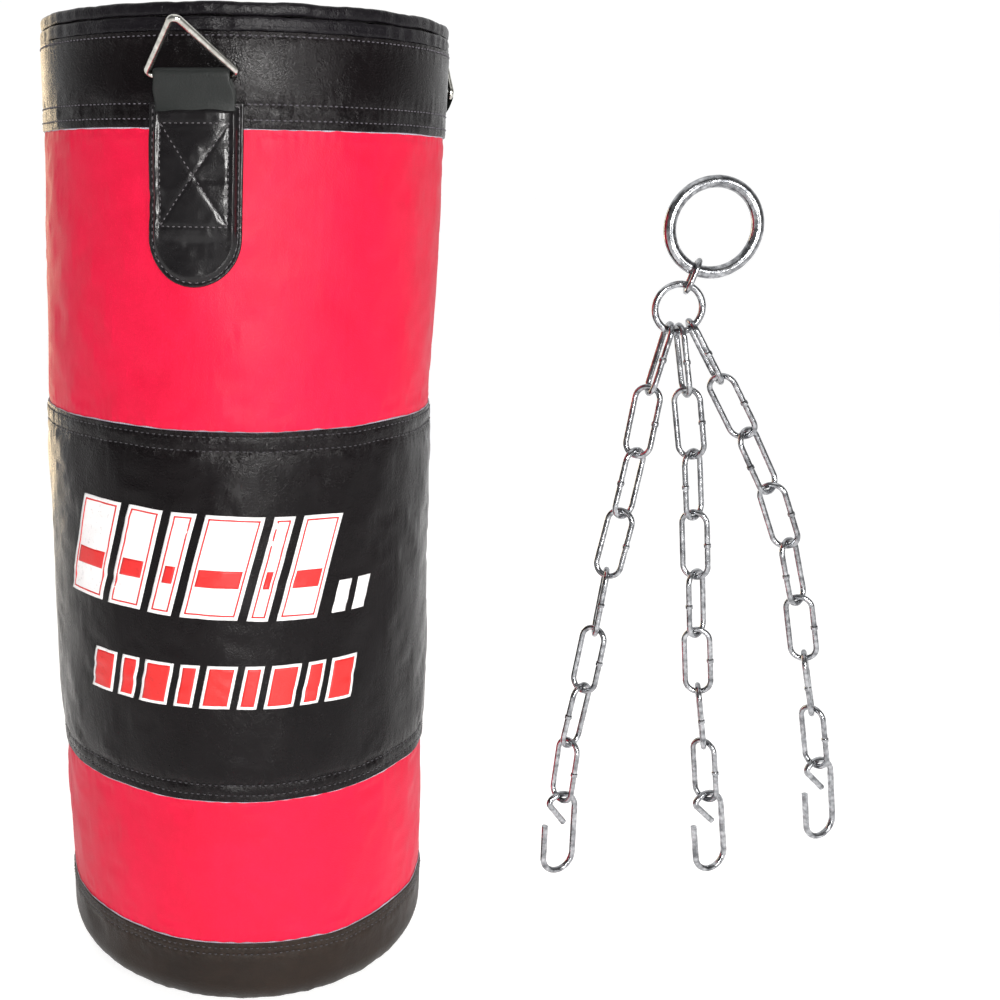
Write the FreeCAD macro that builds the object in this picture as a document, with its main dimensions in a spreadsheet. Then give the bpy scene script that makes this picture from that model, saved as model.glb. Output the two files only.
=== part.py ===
import FreeCAD, Part
import Sketcher
import math
import os

from FreeCAD import Placement, Rotation, Vector

# Uppercut punching bag: an upright leather cylinder in five bands, closed by a
# zipped lid, with three stitched tabs that each carry a triangle ring, and the
# three-legged chain set that the bag hangs from, stored unclipped beside it.
# Millimetres, +Z up. The origin is the centre of the bag's flat base.

doc = FreeCAD.newDocument("uppercut_bag")
sheet = doc.addObject("Spreadsheet::Sheet", "Sizes")

SIZES = [
    # shell
    ("bag_radius", 150.0), ("skin_thick", 2.0), ("base_round", 25.0),
    ("base_flat", 125.0), ("bottom_band_top", 59.0), ("lower_panel_top", 179.0),
    ("middle_band_top", 458.0), ("upper_panel_top", 657.0), ("top_band_top", 716.0),
    ("base_disc_rad", 124.8), ("base_disc_thick", 2.0),
    # lid
    ("skirt_rad", 151.2), ("skirt_inner", 147.0), ("skirt_top", 725.0),
    ("welt_rad", 150.6), ("welt_inner", 142.0), ("welt_top", 734.0),
    ("lid_rad", 141.7), ("lid_low", 725.2), ("lid_thick", 2.4),
    # filling
    ("wrap_rad", 147.6), ("core_rad", 137.5), ("core_low", 12.4), ("core_top", 700.0),
    ("pad_rad", 122.0), ("pad_low", 2.3), ("pad_thick", 9.8),
    ("top_pad_rad", 146.5), ("top_pad_low", 700.3), ("top_pad_thick", 24.6),
    # zip
    ("tape_len", 256.0), ("tape_wide", 32.0), ("tape_thick", 0.8),
    ("teeth_len", 244.0), ("teeth_wide", 6.0), ("teeth_tall", 2.0),
    ("slider_len", 16.0), ("slider_wide", 11.0), ("slider_plate", 1.4),
    ("post_tall", 5.4), ("bridge_rad", 0.9), ("pull_len", 32.0), ("pull_wide", 9.0),
    ("pull_thick", 1.8), ("pull_hole", 1.25),
    # tabs
    ("patch_wide", 65.0), ("patch_low", 555.5), ("patch_top", 673.0),
    ("patch_in", 153.5), ("patch_out", 157.2),
    ("strap_wide", 54.0), ("strap_low", 594.0), ("strap_top", 682.0),
    ("strap_in", 150.3), ("strap_out", 153.3),
    ("loop_wide", 48.0), ("loop_out", 4.9), ("loop_hole", 2.7),
    ("bar_reach", 157.2), ("bar_height", 689.0),
    ("ring_wire", 2.25), ("ring_side", 61.9), ("ring_bend", 3.5),
    # chain
    ("hang_mid", 31.6), ("hang_wire", 4.4), ("collect_mid", 17.25), ("collect_wire", 2.5),
    ("conn_len", 27.5), ("conn_wide", 19.5), ("conn_wire", 2.0),
    ("link_len", 56.0), ("link_wide", 23.0), ("link_wire", 2.1),
    ("weld_rad", 2.75), ("weld_len", 5.0),
    ("hook_half", 13.6), ("hook_side", 40.0), ("hook_wire", 2.4), ("hook_gap", 11.5),
    ("tongue_bend", 4.0), ("tongue_len", 21.0),
]
for row, (alias, value) in enumerate(SIZES, start=1):
    sheet.set("A%d" % row, alias)
    sheet.set("B%d" % row, "%g" % value)
    sheet.setAlias("B%d" % row, alias)
doc.recompute()
S = dict(SIZES)
NODES = []


def cell(text):
    """An expression over the sheet's aliases, with the sheet's name put in front."""
    out, word = [], ""
    for ch in text + " ":
        if ch.isalnum() or ch == "_" or (word and ch == "."):
            word += ch
        else:
            if word in S:
                out.append("Sizes." + word)
            else:
                out.append(word)
            word = ""
            out.append(ch)
    return "".join(out).strip()


def number(text):
    """The same expression as a number, for a sketch's first guess."""
    total, sign, word = 0.0, 1.0, ""
    terms = []
    for ch in text.replace(" ", "") + "+":
        if ch in "+-" and word:
            terms.append((sign, word))
            word, sign = "", (1.0 if ch == "+" else -1.0)
        elif ch in "+-":
            sign = 1.0 if ch == "+" else -1.0
        else:
            word += ch
    for sign, word in terms:
        value = 1.0
        op = "*"
        piece = ""
        for ch in word + "*":
            if ch in "*/":
                x = S[piece] if piece in S else float(piece)
                value = value * x if op == "*" else value / x
                op, piece = ch, ""
            else:
                piece += ch
        total += sign * value
    return total


def plane(body, role):
    for f in body.Origin.OriginFeatures:
        if f.Role == role:
            return f
    raise RuntimeError(role)


def sketch_on(body, name, role):
    sk = body.newObject("Sketcher::SketchObject", name)
    sk.AttachmentSupport = [(plane(body, role), "")]
    sk.MapMode = "FlatFace"
    return sk


def pin(sk, geo, pos, xs, ys):
    """Holds one end of a line at (xs, ys), each an expression over the sheet."""
    for kind, text, axis in (("DistanceX", xs, -2), ("DistanceY", ys, -1)):
        value = number(text)
        if abs(value) < 1e-9:
            sk.addConstraint(Sketcher.Constraint("PointOnObject", geo, pos, axis))
        else:
            n = sk.addConstraint(Sketcher.Constraint(kind, -1, 1, geo, pos, value))
            sk.setExpression("Constraints[%d]" % n, cell(text))


def route(sk, points, bends=None, closed=True):
    """Lines and arcs through points (pairs of expressions). bends gives, for the run that
    starts at a point, (radius, centre, turns left, is a half turn) of an arc in its place."""
    bends = bends or {}
    spots = [(number(a), number(b)) for a, b in points]
    count = len(points)
    runs = count if closed else count - 1
    geos = []
    for i in range(runs):
        a, b = spots[i], spots[(i + 1) % count]
        if i in bends:
            radius, centre, left, _ = bends[i]
            cx, cy = number(centre[0]), number(centre[1])
            a0 = math.atan2(a[1] - cy, a[0] - cx)
            a1 = math.atan2(b[1] - cy, b[0] - cx)
            if not left:
                a0, a1 = a1, a0
            if a1 <= a0:
                a1 += 2 * math.pi
            arc = Part.ArcOfCircle(Part.Circle(Vector(cx, cy, 0), Vector(0, 0, 1), number(radius)), a0, a1)
            geos.append((sk.addGeometry(arc, False), 1 if left else 2, 2 if left else 1))
        else:
            line = Part.LineSegment(Vector(a[0], a[1], 0), Vector(b[0], b[1], 0))
            geos.append((sk.addGeometry(line, False), 1, 2))
    for i in range(runs):
        g, start, end = geos[i]
        pin(sk, g, start, *points[i])
        if closed or i < runs - 1:
            after = geos[(i + 1) % runs]
            sk.addConstraint(Sketcher.Constraint("Coincident", g, end, after[0], after[1]))
        else:
            pin(sk, g, end, *points[-1])
        if i in bends:
            radius, centre, _, half = bends[i]
            if half:
                n = sk.addConstraint(Sketcher.Constraint("DistanceY", -1, 1, g, 3, number(centre[1])))
                sk.setExpression("Constraints[%d]" % n, cell(centre[1]))
            else:
                n = sk.addConstraint(Sketcher.Constraint("Radius", g, number(radius)))
                sk.setExpression("Constraints[%d]" % n, cell(radius))


def turned(label, points, bends=None):
    """A solid turned about the bag's axis from an (out, up) outline."""
    body = doc.addObject("PartDesign::Body", label)
    body.Label = label
    sk = sketch_on(body, label + "_profile", "XZ_Plane")
    route(sk, points, bends)
    rev = body.newObject("PartDesign::Revolution", label + "_turn")
    rev.Profile = sk
    rev.ReferenceAxis = (sk, ["V_Axis"])
    rev.Angle = 360.0
    NODES.append(body)
    return body


def box_ring(label, inner, outer, low, high):
    return turned(label, [(inner, low), (outer, low), (outer, high), (inner, high)])


def disc(label, rad, low, high):
    return turned(label, [("0", low), (rad, low), (rad, high), ("0", high)])


# ---------------------------------------------------------------- the bag
disc("base_disc", "base_disc_rad", "0", "base_disc_thick")
turned(
    "shell_bottom_band",
    [("base_flat", "0"), ("bag_radius", "base_round"), ("bag_radius", "bottom_band_top"),
     ("bag_radius-skin_thick", "bottom_band_top"), ("bag_radius-skin_thick", "base_round"),
     ("base_flat", "skin_thick")],
    {0: ("base_round", ("base_flat", "base_round"), True, False),
     4: ("base_round-skin_thick", ("base_flat", "base_round"), False, False)},
)
box_ring("shell_lower_panel", "bag_radius-skin_thick", "bag_radius", "bottom_band_top", "lower_panel_top")
box_ring("shell_middle_band", "bag_radius-skin_thick", "bag_radius", "lower_panel_top", "middle_band_top")
box_ring("shell_upper_panel", "bag_radius-skin_thick", "bag_radius", "middle_band_top", "upper_panel_top")
box_ring("shell_top_band", "bag_radius-skin_thick", "bag_radius", "upper_panel_top", "top_band_top")
box_ring("lid_skirt", "skirt_inner", "skirt_rad", "top_band_top", "skirt_top")
box_ring("lid_welt", "welt_inner", "welt_rad", "skirt_top", "welt_top")
disc("lid_panel", "lid_rad", "lid_low", "lid_low+lid_thick")
# the filling: a foam wrap round a packed textile core, with a pad at each end
turned("foam_wrap", [("core_rad+0.2", "core_low+13"), ("wrap_rad", "core_low+15"), ("wrap_rad", "core_top"),
                     ("core_rad+0.2", "core_top")])
turned("textile_core", [("0", "core_low"), ("core_rad-8", "core_low"), ("core_rad", "core_low+10"),
                        ("core_rad", "core_top"), ("0", "core_top")])
disc("base_pad", "pad_rad", "pad_low", "pad_low+pad_thick")
disc("top_pad", "top_pad_rad", "top_pad_low", "top_pad_low+top_pad_thick")


# ---------------------------------------------------------------- the lid's zip
def block(name, length, width, height, x, y, z):
    """A box centred on (x, y) with its underside at z."""
    b = doc.addObject("Part::Box", name)
    b.setExpression("Length", cell(length))
    b.setExpression("Width", cell(width))
    b.setExpression("Height", cell(height))
    b.setExpression("Placement.Base.x", cell("%s-(%s)/2" % (x, length)))
    b.setExpression("Placement.Base.y", cell("%s-(%s)/2" % (y, width)))
    b.setExpression("Placement.Base.z", cell(z))
    return b


tape = block("zip_tape", "tape_len", "tape_wide", "tape_thick", "0", "0", "lid_low+lid_thick")
NODES.append(tape)
teeth = block("zip_teeth", "teeth_len", "teeth_wide", "teeth_tall", "0", "0", "lid_low+lid_thick+tape_thick")
NODES.append(teeth)

SLIDER_X = 108.0
plate = block("slider_plate_body", "slider_len", "slider_wide", "slider_plate", str(SLIDER_X), "0",
              "lid_low+lid_thick+tape_thick+teeth_tall+0.35")
post_a = block("slider_post_in", "1.8", "3", "post_tall-1", str(SLIDER_X - 4.6), "0",
               "lid_low+lid_thick+tape_thick+teeth_tall+0.35")
post_b = block("slider_post_out", "1.8", "3", "post_tall", str(SLIDER_X + 4.6), "0",
               "lid_low+lid_thick+tape_thick+teeth_tall+0.35")
bridge = doc.addObject("Part::Cylinder", "slider_bridge")
bridge.setExpression("Radius", cell("bridge_rad"))
bridge.Height = 11.0
bridge.Placement = Placement(Vector(0, 0, 0), Rotation(Vector(0, 1, 0), 90))
bridge.setExpression("Placement.Base.x", str(SLIDER_X - 5.5))
bridge.setExpression("Placement.Base.z", cell("lid_low+lid_thick+tape_thick+teeth_tall+0.35+post_tall-1"))
slider = doc.addObject("Part::MultiFuse", "zip_slider")
slider.Shapes = [plate, post_a, post_b, bridge]
NODES.append(slider)
# the pull hangs on the bridge and lies across the lid, towards the front
PULL_Z = "lid_low+lid_thick+tape_thick+teeth_tall+0.35+post_tall-1"
leaf = doc.addObject("Part::Box", "pull_leaf")
leaf.Length = 4.6
leaf.setExpression("Width", cell("pull_len"))
leaf.setExpression("Height", cell("pull_thick"))
leaf.setExpression("Placement.Base.x", str(SLIDER_X - 2.3))
leaf.setExpression("Placement.Base.y", cell("0-pull_len-1.9"))
leaf.setExpression("Placement.Base.z", cell(PULL_Z + "-pull_thick/2"))
paddle = doc.addObject("Part::Box", "pull_paddle")
paddle.setExpression("Length", cell("pull_wide"))
paddle.setExpression("Width", cell("pull_len*0.6"))
paddle.setExpression("Height", cell("pull_thick"))
paddle.setExpression("Placement.Base.x", cell(str(SLIDER_X) + "-pull_wide/2"))
paddle.setExpression("Placement.Base.y", cell("0-pull_len-1.9"))
paddle.setExpression("Placement.Base.z", cell(PULL_Z + "-pull_thick/2"))
eye = doc.addObject("Part::Cylinder", "pull_eye")
eye.Radius = 2.3
eye.Height = 4.6
eye.Placement = Placement(Vector(SLIDER_X - 2.3, 0, 0), Rotation(Vector(0, 1, 0), 90))
eye.setExpression("Placement.Base.z", cell(PULL_Z))
solid_pull = doc.addObject("Part::MultiFuse", "pull_solid")
solid_pull.Shapes = [leaf, paddle, eye]
bore = doc.addObject("Part::Cylinder", "pull_bore")
bore.setExpression("Radius", cell("pull_hole"))
bore.Height = 9.0
bore.Placement = Placement(Vector(SLIDER_X - 4.5, 0, 0), Rotation(Vector(0, 1, 0), 90))
bore.setExpression("Placement.Base.z", cell(PULL_Z))
pull = doc.addObject("Part::Cut", "zip_pull")
pull.Base = solid_pull
pull.Tool = bore
NODES.append(pull)


# ---------------------------------------------------------------- tabs, loops and triangle rings
def tube(name, inner, outer, low, high):
    big = doc.addObject("Part::Cylinder", name + "_out")
    big.setExpression("Radius", cell(outer))
    big.setExpression("Height", cell("%s-(%s)" % (high, low)))
    big.setExpression("Placement.Base.z", cell(low))
    hole = doc.addObject("Part::Cylinder", name + "_in")
    hole.setExpression("Radius", cell(inner))
    hole.setExpression("Height", cell("%s-(%s)+2" % (high, low)))
    hole.setExpression("Placement.Base.z", cell("%s-1" % low))
    cut = doc.addObject("Part::Cut", name)
    cut.Base, cut.Tool = big, hole
    return cut


def front_block(name, width, low, high, near, far):
    """A box in front of the bag, from y = -far to y = -near."""
    b = doc.addObject("Part::Box", name)
    b.setExpression("Length", cell(width))
    b.setExpression("Width", cell("%s-(%s)" % (far, near)))
    b.setExpression("Height", cell("%s-(%s)" % (high, low)))
    b.setExpression("Placement.Base.x", cell("0-(%s)/2" % width))
    b.setExpression("Placement.Base.y", cell("0-(%s)" % far))
    b.setExpression("Placement.Base.z", cell(low))
    return b


def triangle_ring(label, at, lean):
    """A round-cornered triangle of wire. Its base bar lies in a strap loop, and it leans
    out from upright by lean degrees."""
    body = doc.addObject("PartDesign::Body", label)
    body.Label = label
    sk = sketch_on(body, label + "_path", "XZ_Plane")
    foot = ("ring_side*0.5-ring_bend*1.7320508076", "0")
    knee = ("ring_side*0.5-ring_bend*0.8660254038", "ring_bend*1.5")
    brow = ("ring_bend*0.8660254038", "ring_side*0.8660254038-ring_bend*1.5")
    brow_2 = ("0-ring_bend*0.8660254038", "ring_side*0.8660254038-ring_bend*1.5")
    knee_2 = ("0-ring_side*0.5+ring_bend*0.8660254038", "ring_bend*1.5")
    foot_2 = ("0-ring_side*0.5+ring_bend*1.7320508076", "0")
    route(
        sk,
        [("0", "0"), foot, knee, brow, brow_2, knee_2, foot_2],
        {1: ("ring_bend", (foot[0], "ring_bend"), True, False),
         3: ("ring_bend", ("0", "ring_side*0.8660254038-ring_bend*2"), True, False),
         5: ("ring_bend", (foot_2[0], "ring_bend"), True, False)},
    )
    prof = sketch_on(body, label + "_wire", "YZ_Plane")
    c = prof.addGeometry(Part.Circle(Vector(0, 0, 0), Vector(0, 0, 1), S["ring_wire"]), False)
    prof.addConstraint(Sketcher.Constraint("Coincident", c, 3, -1, 1))
    n = prof.addConstraint(Sketcher.Constraint("Radius", c, S["ring_wire"]))
    prof.setExpression("Constraints[%d]" % n, cell("ring_wire"))
    pipe = body.newObject("PartDesign::AdditivePipe", label + "_sweep")
    pipe.Profile = prof
    pipe.Spine = sk
    turn = Rotation(Vector(0, 0, 1), at)
    base = turn.multVec(Vector(0, -S["bar_reach"], S["bar_height"]))
    body.Placement = Placement(base, turn.multiply(Rotation(Vector(1, 0, 0), lean)))
    NODES.append(body)


def tab(mark, at, lean):
    round_bar = Placement(Vector(0, 0, 0), Rotation(Vector(0, 0, 1), at))
    # the padded patch: square at the top, half round at the bottom
    wall = tube("patch_wall_" + mark, "patch_in", "patch_out", "patch_low-5", "patch_top+5")
    square = front_block("patch_square_" + mark, "patch_wide", "patch_low+patch_wide/2", "patch_top", "140", "170")
    foot = doc.addObject("Part::Cylinder", "patch_foot_" + mark)
    foot.setExpression("Radius", cell("patch_wide/2"))
    foot.Height = 30.0
    foot.Placement = Placement(Vector(0, -140, 0), Rotation(Vector(1, 0, 0), 90))
    foot.setExpression("Placement.Base.z", cell("patch_low+patch_wide/2"))
    flat = doc.addObject("Part::Fuse", "patch_flat_" + mark)
    flat.Base, flat.Tool = square, foot
    patch = doc.addObject("Part::Common", "tab_patch_" + mark)
    patch.Base, patch.Tool = wall, flat
    patch.Placement = round_bar
    NODES.append(patch)
    # the strap under the patch, folded over the ring's base bar
    lie = tube("strap_wall_" + mark, "strap_in", "strap_out", "strap_low-5", "strap_top+5")
    cutter = front_block("strap_cutter_" + mark, "strap_wide", "strap_low", "strap_top", "140", "170")
    sewn = doc.addObject("Part::Common", "strap_sewn_" + mark)
    sewn.Base, sewn.Tool = lie, cutter
    neck = front_block("strap_neck_" + mark, "loop_wide", "patch_top+0.3", "bar_height",
                       "bar_reach-loop_out+0.4", "bar_reach+loop_out-0.4")
    roll = doc.addObject("Part::Cylinder", "strap_roll_" + mark)
    roll.setExpression("Radius", cell("loop_out"))
    roll.setExpression("Height", cell("loop_wide"))
    roll.Placement = Placement(Vector(0, 0, 0), Rotation(Vector(0, 1, 0), 90))
    roll.setExpression("Placement.Base.x", cell("0-loop_wide/2"))
    roll.setExpression("Placement.Base.y", cell("0-bar_reach"))
    roll.setExpression("Placement.Base.z", cell("bar_height"))
    whole = doc.addObject("Part::MultiFuse", "strap_whole_" + mark)
    whole.Shapes = [sewn, neck, roll]
    hole = doc.addObject("Part::Cylinder", "strap_hole_" + mark)
    hole.setExpression("Radius", cell("loop_hole"))
    hole.setExpression("Height", cell("loop_wide+4"))
    hole.Placement = Placement(Vector(0, 0, 0), Rotation(Vector(0, 1, 0), 90))
    hole.setExpression("Placement.Base.x", cell("0-loop_wide/2-2"))
    hole.setExpression("Placement.Base.y", cell("0-bar_reach"))
    hole.setExpression("Placement.Base.z", cell("bar_height"))
    strap = doc.addObject("Part::Cut", "strap_loop_" + mark)
    strap.Base, strap.Tool = whole, hole
    strap.Placement = round_bar
    NODES.append(strap)
    triangle_ring("triangle_ring_" + mark, at, lean)


tab("front", -12.5, 55.0)
tab("right", 107.5, 0.0)
tab("rear", 227.5, 0.0)


# ---------------------------------------------------------------- the chain set
def hoop(label, mid, wire):
    """A plain wire ring standing in the XZ plane."""
    body = doc.addObject("PartDesign::Body", label)
    body.Label = label
    sk = sketch_on(body, label + "_wire", "XY_Plane")
    c = sk.addGeometry(Part.Circle(Vector(S[mid], 0, 0), Vector(0, 0, 1), S[wire]), False)
    sk.addConstraint(Sketcher.Constraint("PointOnObject", c, 3, -1))
    n = sk.addConstraint(Sketcher.Constraint("DistanceX", -1, 1, c, 3, S[mid]))
    sk.setExpression("Constraints[%d]" % n, cell(mid))
    n = sk.addConstraint(Sketcher.Constraint("Radius", c, S[wire]))
    sk.setExpression("Constraints[%d]" % n, cell(wire))
    rev = body.newObject("PartDesign::Revolution", label + "_turn")
    rev.Profile = sk
    rev.ReferenceAxis = (sk, ["V_Axis"])
    rev.Angle = 360.0
    NODES.append(body)
    return body


def oval_link(label, length, width, wire, weld=True):
    body = doc.addObject("PartDesign::Body", label)
    body.Label = label
    sk = sketch_on(body, label + "_path", "XZ_Plane")
    half = "%s*0.5-%s" % (width, wire)
    minus_half = "0-%s*0.5+%s" % (width, wire)
    straight = "%s*0.5-%s*0.5" % (length, width)
    minus_straight = "0-%s*0.5+%s*0.5" % (length, width)
    route(
        sk,
        [(minus_half, "0"), (minus_half, minus_straight), (half, minus_straight), (half, straight), (minus_half, straight)],
        {1: (half, ("0", minus_straight), True, True), 3: (half, ("0", straight), True, True)},
    )
    r = number(half)
    prof = sketch_on(body, label + "_wire", "XY_Plane")
    c = prof.addGeometry(Part.Circle(Vector(-r, 0, 0), Vector(0, 0, 1), S[wire]), False)
    prof.addConstraint(Sketcher.Constraint("PointOnObject", c, 3, -1))
    n = prof.addConstraint(Sketcher.Constraint("DistanceX", -1, 1, c, 3, -r))
    prof.setExpression("Constraints[%d]" % n, cell(minus_half))
    n = prof.addConstraint(Sketcher.Constraint("Radius", c, S[wire]))
    prof.setExpression("Constraints[%d]" % n, cell(wire))
    pipe = body.newObject("PartDesign::AdditivePipe", label + "_sweep")
    pipe.Profile = prof
    pipe.Spine = sk
    if weld:
        # the swollen butt weld in the middle of one side
        bead = sketch_on(body, label + "_weld", "XZ_Plane")
        route(bead, [
            (minus_half, "0-weld_len*0.5"), (minus_half + "-%s+0.3" % wire, "0-weld_len*0.5"),
            (minus_half + "-weld_rad", "0-weld_len*0.2"), (minus_half + "-weld_rad", "weld_len*0.2"),
            (minus_half + "-%s+0.3" % wire, "weld_len*0.5"), (minus_half, "weld_len*0.5"),
        ])
        turn = body.newObject("PartDesign::Revolution", label + "_bead")
        turn.Profile = bead
        turn.ReferenceAxis = (bead, ["Edge6"])
        turn.Angle = 360.0
    NODES.append(body)
    return body


def wire_hook(label):
    """One bent wire: a long oval, open at the upper left, whose top end turns in as a tongue."""
    body = doc.addObject("PartDesign::Body", label)
    body.Label = label
    sk = sketch_on(body, label + "_path", "XZ_Plane")
    brow = ("0-hook_half*0.642788", "hook_half*0.766044")
    nip = ("0-hook_half*0.642788-tongue_bend*0.143212", "hook_half*0.766044-tongue_bend*1.384044")
    tip = (nip[0] + "+tongue_len*0.618", nip[1] + "-tongue_len*0.786")
    route(
        sk,
        [("0-hook_half", "0-hook_gap"), ("0-hook_half", "0-hook_side"), ("hook_half", "0-hook_side"),
         ("hook_half", "0"), brow, nip, tip],
        {1: ("hook_half", ("0", "0-hook_side"), True, True),
         3: ("hook_half", ("0", "0"), True, False),
         4: ("tongue_bend", ("0-hook_half*0.642788+tongue_bend*0.642788", "hook_half*0.766044-tongue_bend*0.766044"), True, False)},
        closed=False,
    )
    prof = sketch_on(body, label + "_wire", "XY_Plane")
    prof.setExpression("AttachmentOffset.Base.z", cell("0-hook_gap"))
    k = prof.addGeometry(Part.Circle(Vector(-S["hook_half"], 0, 0), Vector(0, 0, 1), S["hook_wire"]), False)
    prof.addConstraint(Sketcher.Constraint("PointOnObject", k, 3, -1))
    n = prof.addConstraint(Sketcher.Constraint("DistanceX", -1, 1, k, 3, -S["hook_half"]))
    prof.setExpression("Constraints[%d]" % n, cell("0-hook_half"))
    n = prof.addConstraint(Sketcher.Constraint("Radius", k, S["hook_wire"]))
    prof.setExpression("Constraints[%d]" % n, cell("hook_wire"))
    pipe = body.newObject("PartDesign::AdditivePipe", label + "_sweep")
    pipe.Profile = prof
    pipe.Spine = sk
    NODES.append(body)
    return body


# In-plane lean of each link from the one above it (degrees from straight down, + towards
# +X), its roll about its own length, and where the three legs sit on the collector ring.
LEAN = {"left": [-13.0, -7.0, -8.7, -10.1, -6.5, -7.5, -8.9, -4.0, 1.0],
        "middle": [11.3, 10.4, 7.4, 6.6, 6.5, 7.0, 10.3, 8.4, 9.0],
        "right": [31.5, 31.0, 29.0, 22.5, 16.4, 12.6, 13.9, 11.7, 9.3]}
ROLL = {"left": [86, 142, 32, 144, 76, 134, 36, 124, 20],
        "middle": [88, 146, 36, 144, 38, 160, 74, 128, 18],
        "right": [86, 142, 32, 142, 36, 152, 66, 124, 20]}
SEAT = {"left": -21.0, "middle": 8.2, "right": 40.0}
CONN_DIR = -19.3
CONN_ROLL = 78
def add(a, b):
    return tuple(x + y for x, y in zip(a, b))


def sub(a, b):
    return tuple(x - y for x, y in zip(a, b))


def mul(a, k):
    return tuple(x * k for x in a)


def hang(lean):
    return (math.sin(math.radians(lean)), 0.0, -math.cos(math.radians(lean)))


def side(lean, roll):
    """Width direction of a link that hangs along lean, rolled about its own length."""
    q = math.radians(lean); b = math.radians(roll)
    flat = (math.cos(q), 0.0, math.sin(q))
    return add(mul(flat, math.cos(b)), (0.0, math.sin(b), 0.0))


def layout(c):
    """node -> (centre, width direction, up direction)"""
    out = {}
    ring = (c["X0"], c["Y0"], c["Z0"])
    out["hanging_ring"] = (ring, (1.0, 0.0, 0.0), (0.0, 0.0, 1.0))
    d = hang(CONN_DIR)
    p = add(ring, mul(d, c["hr_c"]))
    top = sub(p, mul(d, c["hr_w"] + c["cl_w"] + c["gap"]))
    half = c["cl_L"] / 2 - c["cl_w"]
    mid = add(top, mul(d, half))
    xs = side(CONN_DIR, CONN_ROLL)
    out["connector_link"] = (mid, xs, mul(d, -1))
    low = add(mid, mul(d, half))
    rim = add(low, mul(d, -(c["cl_w"] + c["cr_w"] + c["gap"])))
    cen = add(rim, mul(d, c["cr_c"]))
    out["collector_ring"] = (cen, (1.0, 0.0, 0.0), (0.0, 0.0, 1.0))
    for ch in ("left", "middle", "right"):
        q = SEAT[ch]
        parent, pivot = "collector_ring", add(cen, mul(hang(q), c["cr_c"]))
        axis = (math.cos(math.radians(q)), 0.0, math.sin(math.radians(q)))
        off = c["cr_w"] + c["w"] + c["gap"]
        for i in range(9):
            lean, roll = LEAN[ch][i], ROLL[ch][i]
            d, xs = hang(lean), side(lean, roll)
            if i < 8:
                name = "%s_link_%d" % (ch, i + 1)
                t = sub(pivot, mul(d, off))
                half = c["L"] / 2 - c["w"]
                mid = add(t, mul(d, half))
                out[name] = (mid, xs, mul(d, -1))
                parent, pivot, axis = name, add(mid, mul(d, half)), xs
                off = 2 * c["w"] + c["gap"]
            else:
                name = "%s_hook" % ch
                off = c["w"] + c["hk_w"] + c["gap"]
                t = sub(pivot, mul(d, off))
                mid = add(t, mul(d, c["hk_a"]))
                out[name] = (mid, xs, mul(d, -1))
    return out


CHAIN = {
    "X0": 330.7, "Y0": -100.0, "Z0": 597.3, "hr_c": S["hang_mid"], "hr_w": S["hang_wire"],
    "cl_L": S["conn_len"], "cl_W": S["conn_wide"], "cl_w": S["conn_wire"],
    "cr_c": S["collect_mid"], "cr_w": S["collect_wire"],
    "L": S["link_len"], "W": S["link_wide"], "w": S["link_wire"], "gap": 0.4,
    "hk_a": S["hook_half"], "hk_s": S["hook_side"], "hk_w": S["hook_wire"],
}


def put(body, where):
    """Places a body drawn upright about its own origin."""
    centre, across, up = where
    x, z = Vector(*across), Vector(*up)
    y = z.cross(x)
    m = FreeCAD.Matrix(x.x, y.x, z.x, centre[0], x.y, y.y, z.y, centre[1], x.z, y.z, z.z, centre[2], 0, 0, 0, 1)
    body.Placement = Placement(m)


places = layout(CHAIN)
for label, where in places.items():
    if label == "hanging_ring":
        body = hoop(label, "hang_mid", "hang_wire")
    elif label == "collector_ring":
        body = hoop(label, "collect_mid", "collect_wire")
    elif label == "connector_link":
        body = oval_link(label, "conn_len", "conn_wide", "conn_wire", weld=False)
    elif label.endswith("hook"):
        body = wire_hook(label)
    else:
        body = oval_link(label, "link_len", "link_wide", "link_wire")
    put(body, where)


# ---------------------------------------------------------------- check and write
doc.recompute()
bad = []
for obj in doc.Objects:
    if "Invalid" in obj.State or "Error" in obj.State:
        bad.append("%s: %s" % (obj.Name, obj.State))
for node in NODES:
    shape = node.Shape
    if shape.isNull() or not shape.isValid() or len(shape.Solids) != 1 or shape.Volume <= 0:
        bad.append("%s: shape null, invalid or not one solid" % node.Label)
if bad:
    raise RuntimeError("; ".join(bad))
os.makedirs("parts", exist_ok=True)
for node in NODES:
    node.Shape.exportStep(os.path.join("parts", node.Label + ".step"))
print(len(NODES), "nodes written")
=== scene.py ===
import bpy
import math
import numpy as np
from mathutils import Matrix, Vector, noise


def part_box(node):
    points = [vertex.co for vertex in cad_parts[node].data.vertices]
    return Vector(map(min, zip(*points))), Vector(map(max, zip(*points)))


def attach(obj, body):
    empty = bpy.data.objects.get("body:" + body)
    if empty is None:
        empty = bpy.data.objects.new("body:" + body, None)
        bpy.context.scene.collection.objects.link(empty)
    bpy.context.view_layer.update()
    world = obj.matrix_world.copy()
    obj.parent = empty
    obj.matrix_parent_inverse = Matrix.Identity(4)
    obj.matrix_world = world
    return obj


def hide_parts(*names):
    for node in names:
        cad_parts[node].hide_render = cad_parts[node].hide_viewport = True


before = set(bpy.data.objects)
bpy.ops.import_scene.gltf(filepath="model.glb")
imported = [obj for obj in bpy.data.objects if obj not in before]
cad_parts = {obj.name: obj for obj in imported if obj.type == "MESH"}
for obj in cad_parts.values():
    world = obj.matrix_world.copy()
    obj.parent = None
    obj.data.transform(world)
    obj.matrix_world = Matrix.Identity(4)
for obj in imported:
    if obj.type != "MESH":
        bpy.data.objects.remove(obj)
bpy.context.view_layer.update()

# Uppercut bag round its fixed CAD frame. Lengths below are millimetres unless a line says
# otherwise, and become metres where a mesh is made. Angles on the bag run from the front
# (-Y) towards +X.

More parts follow.
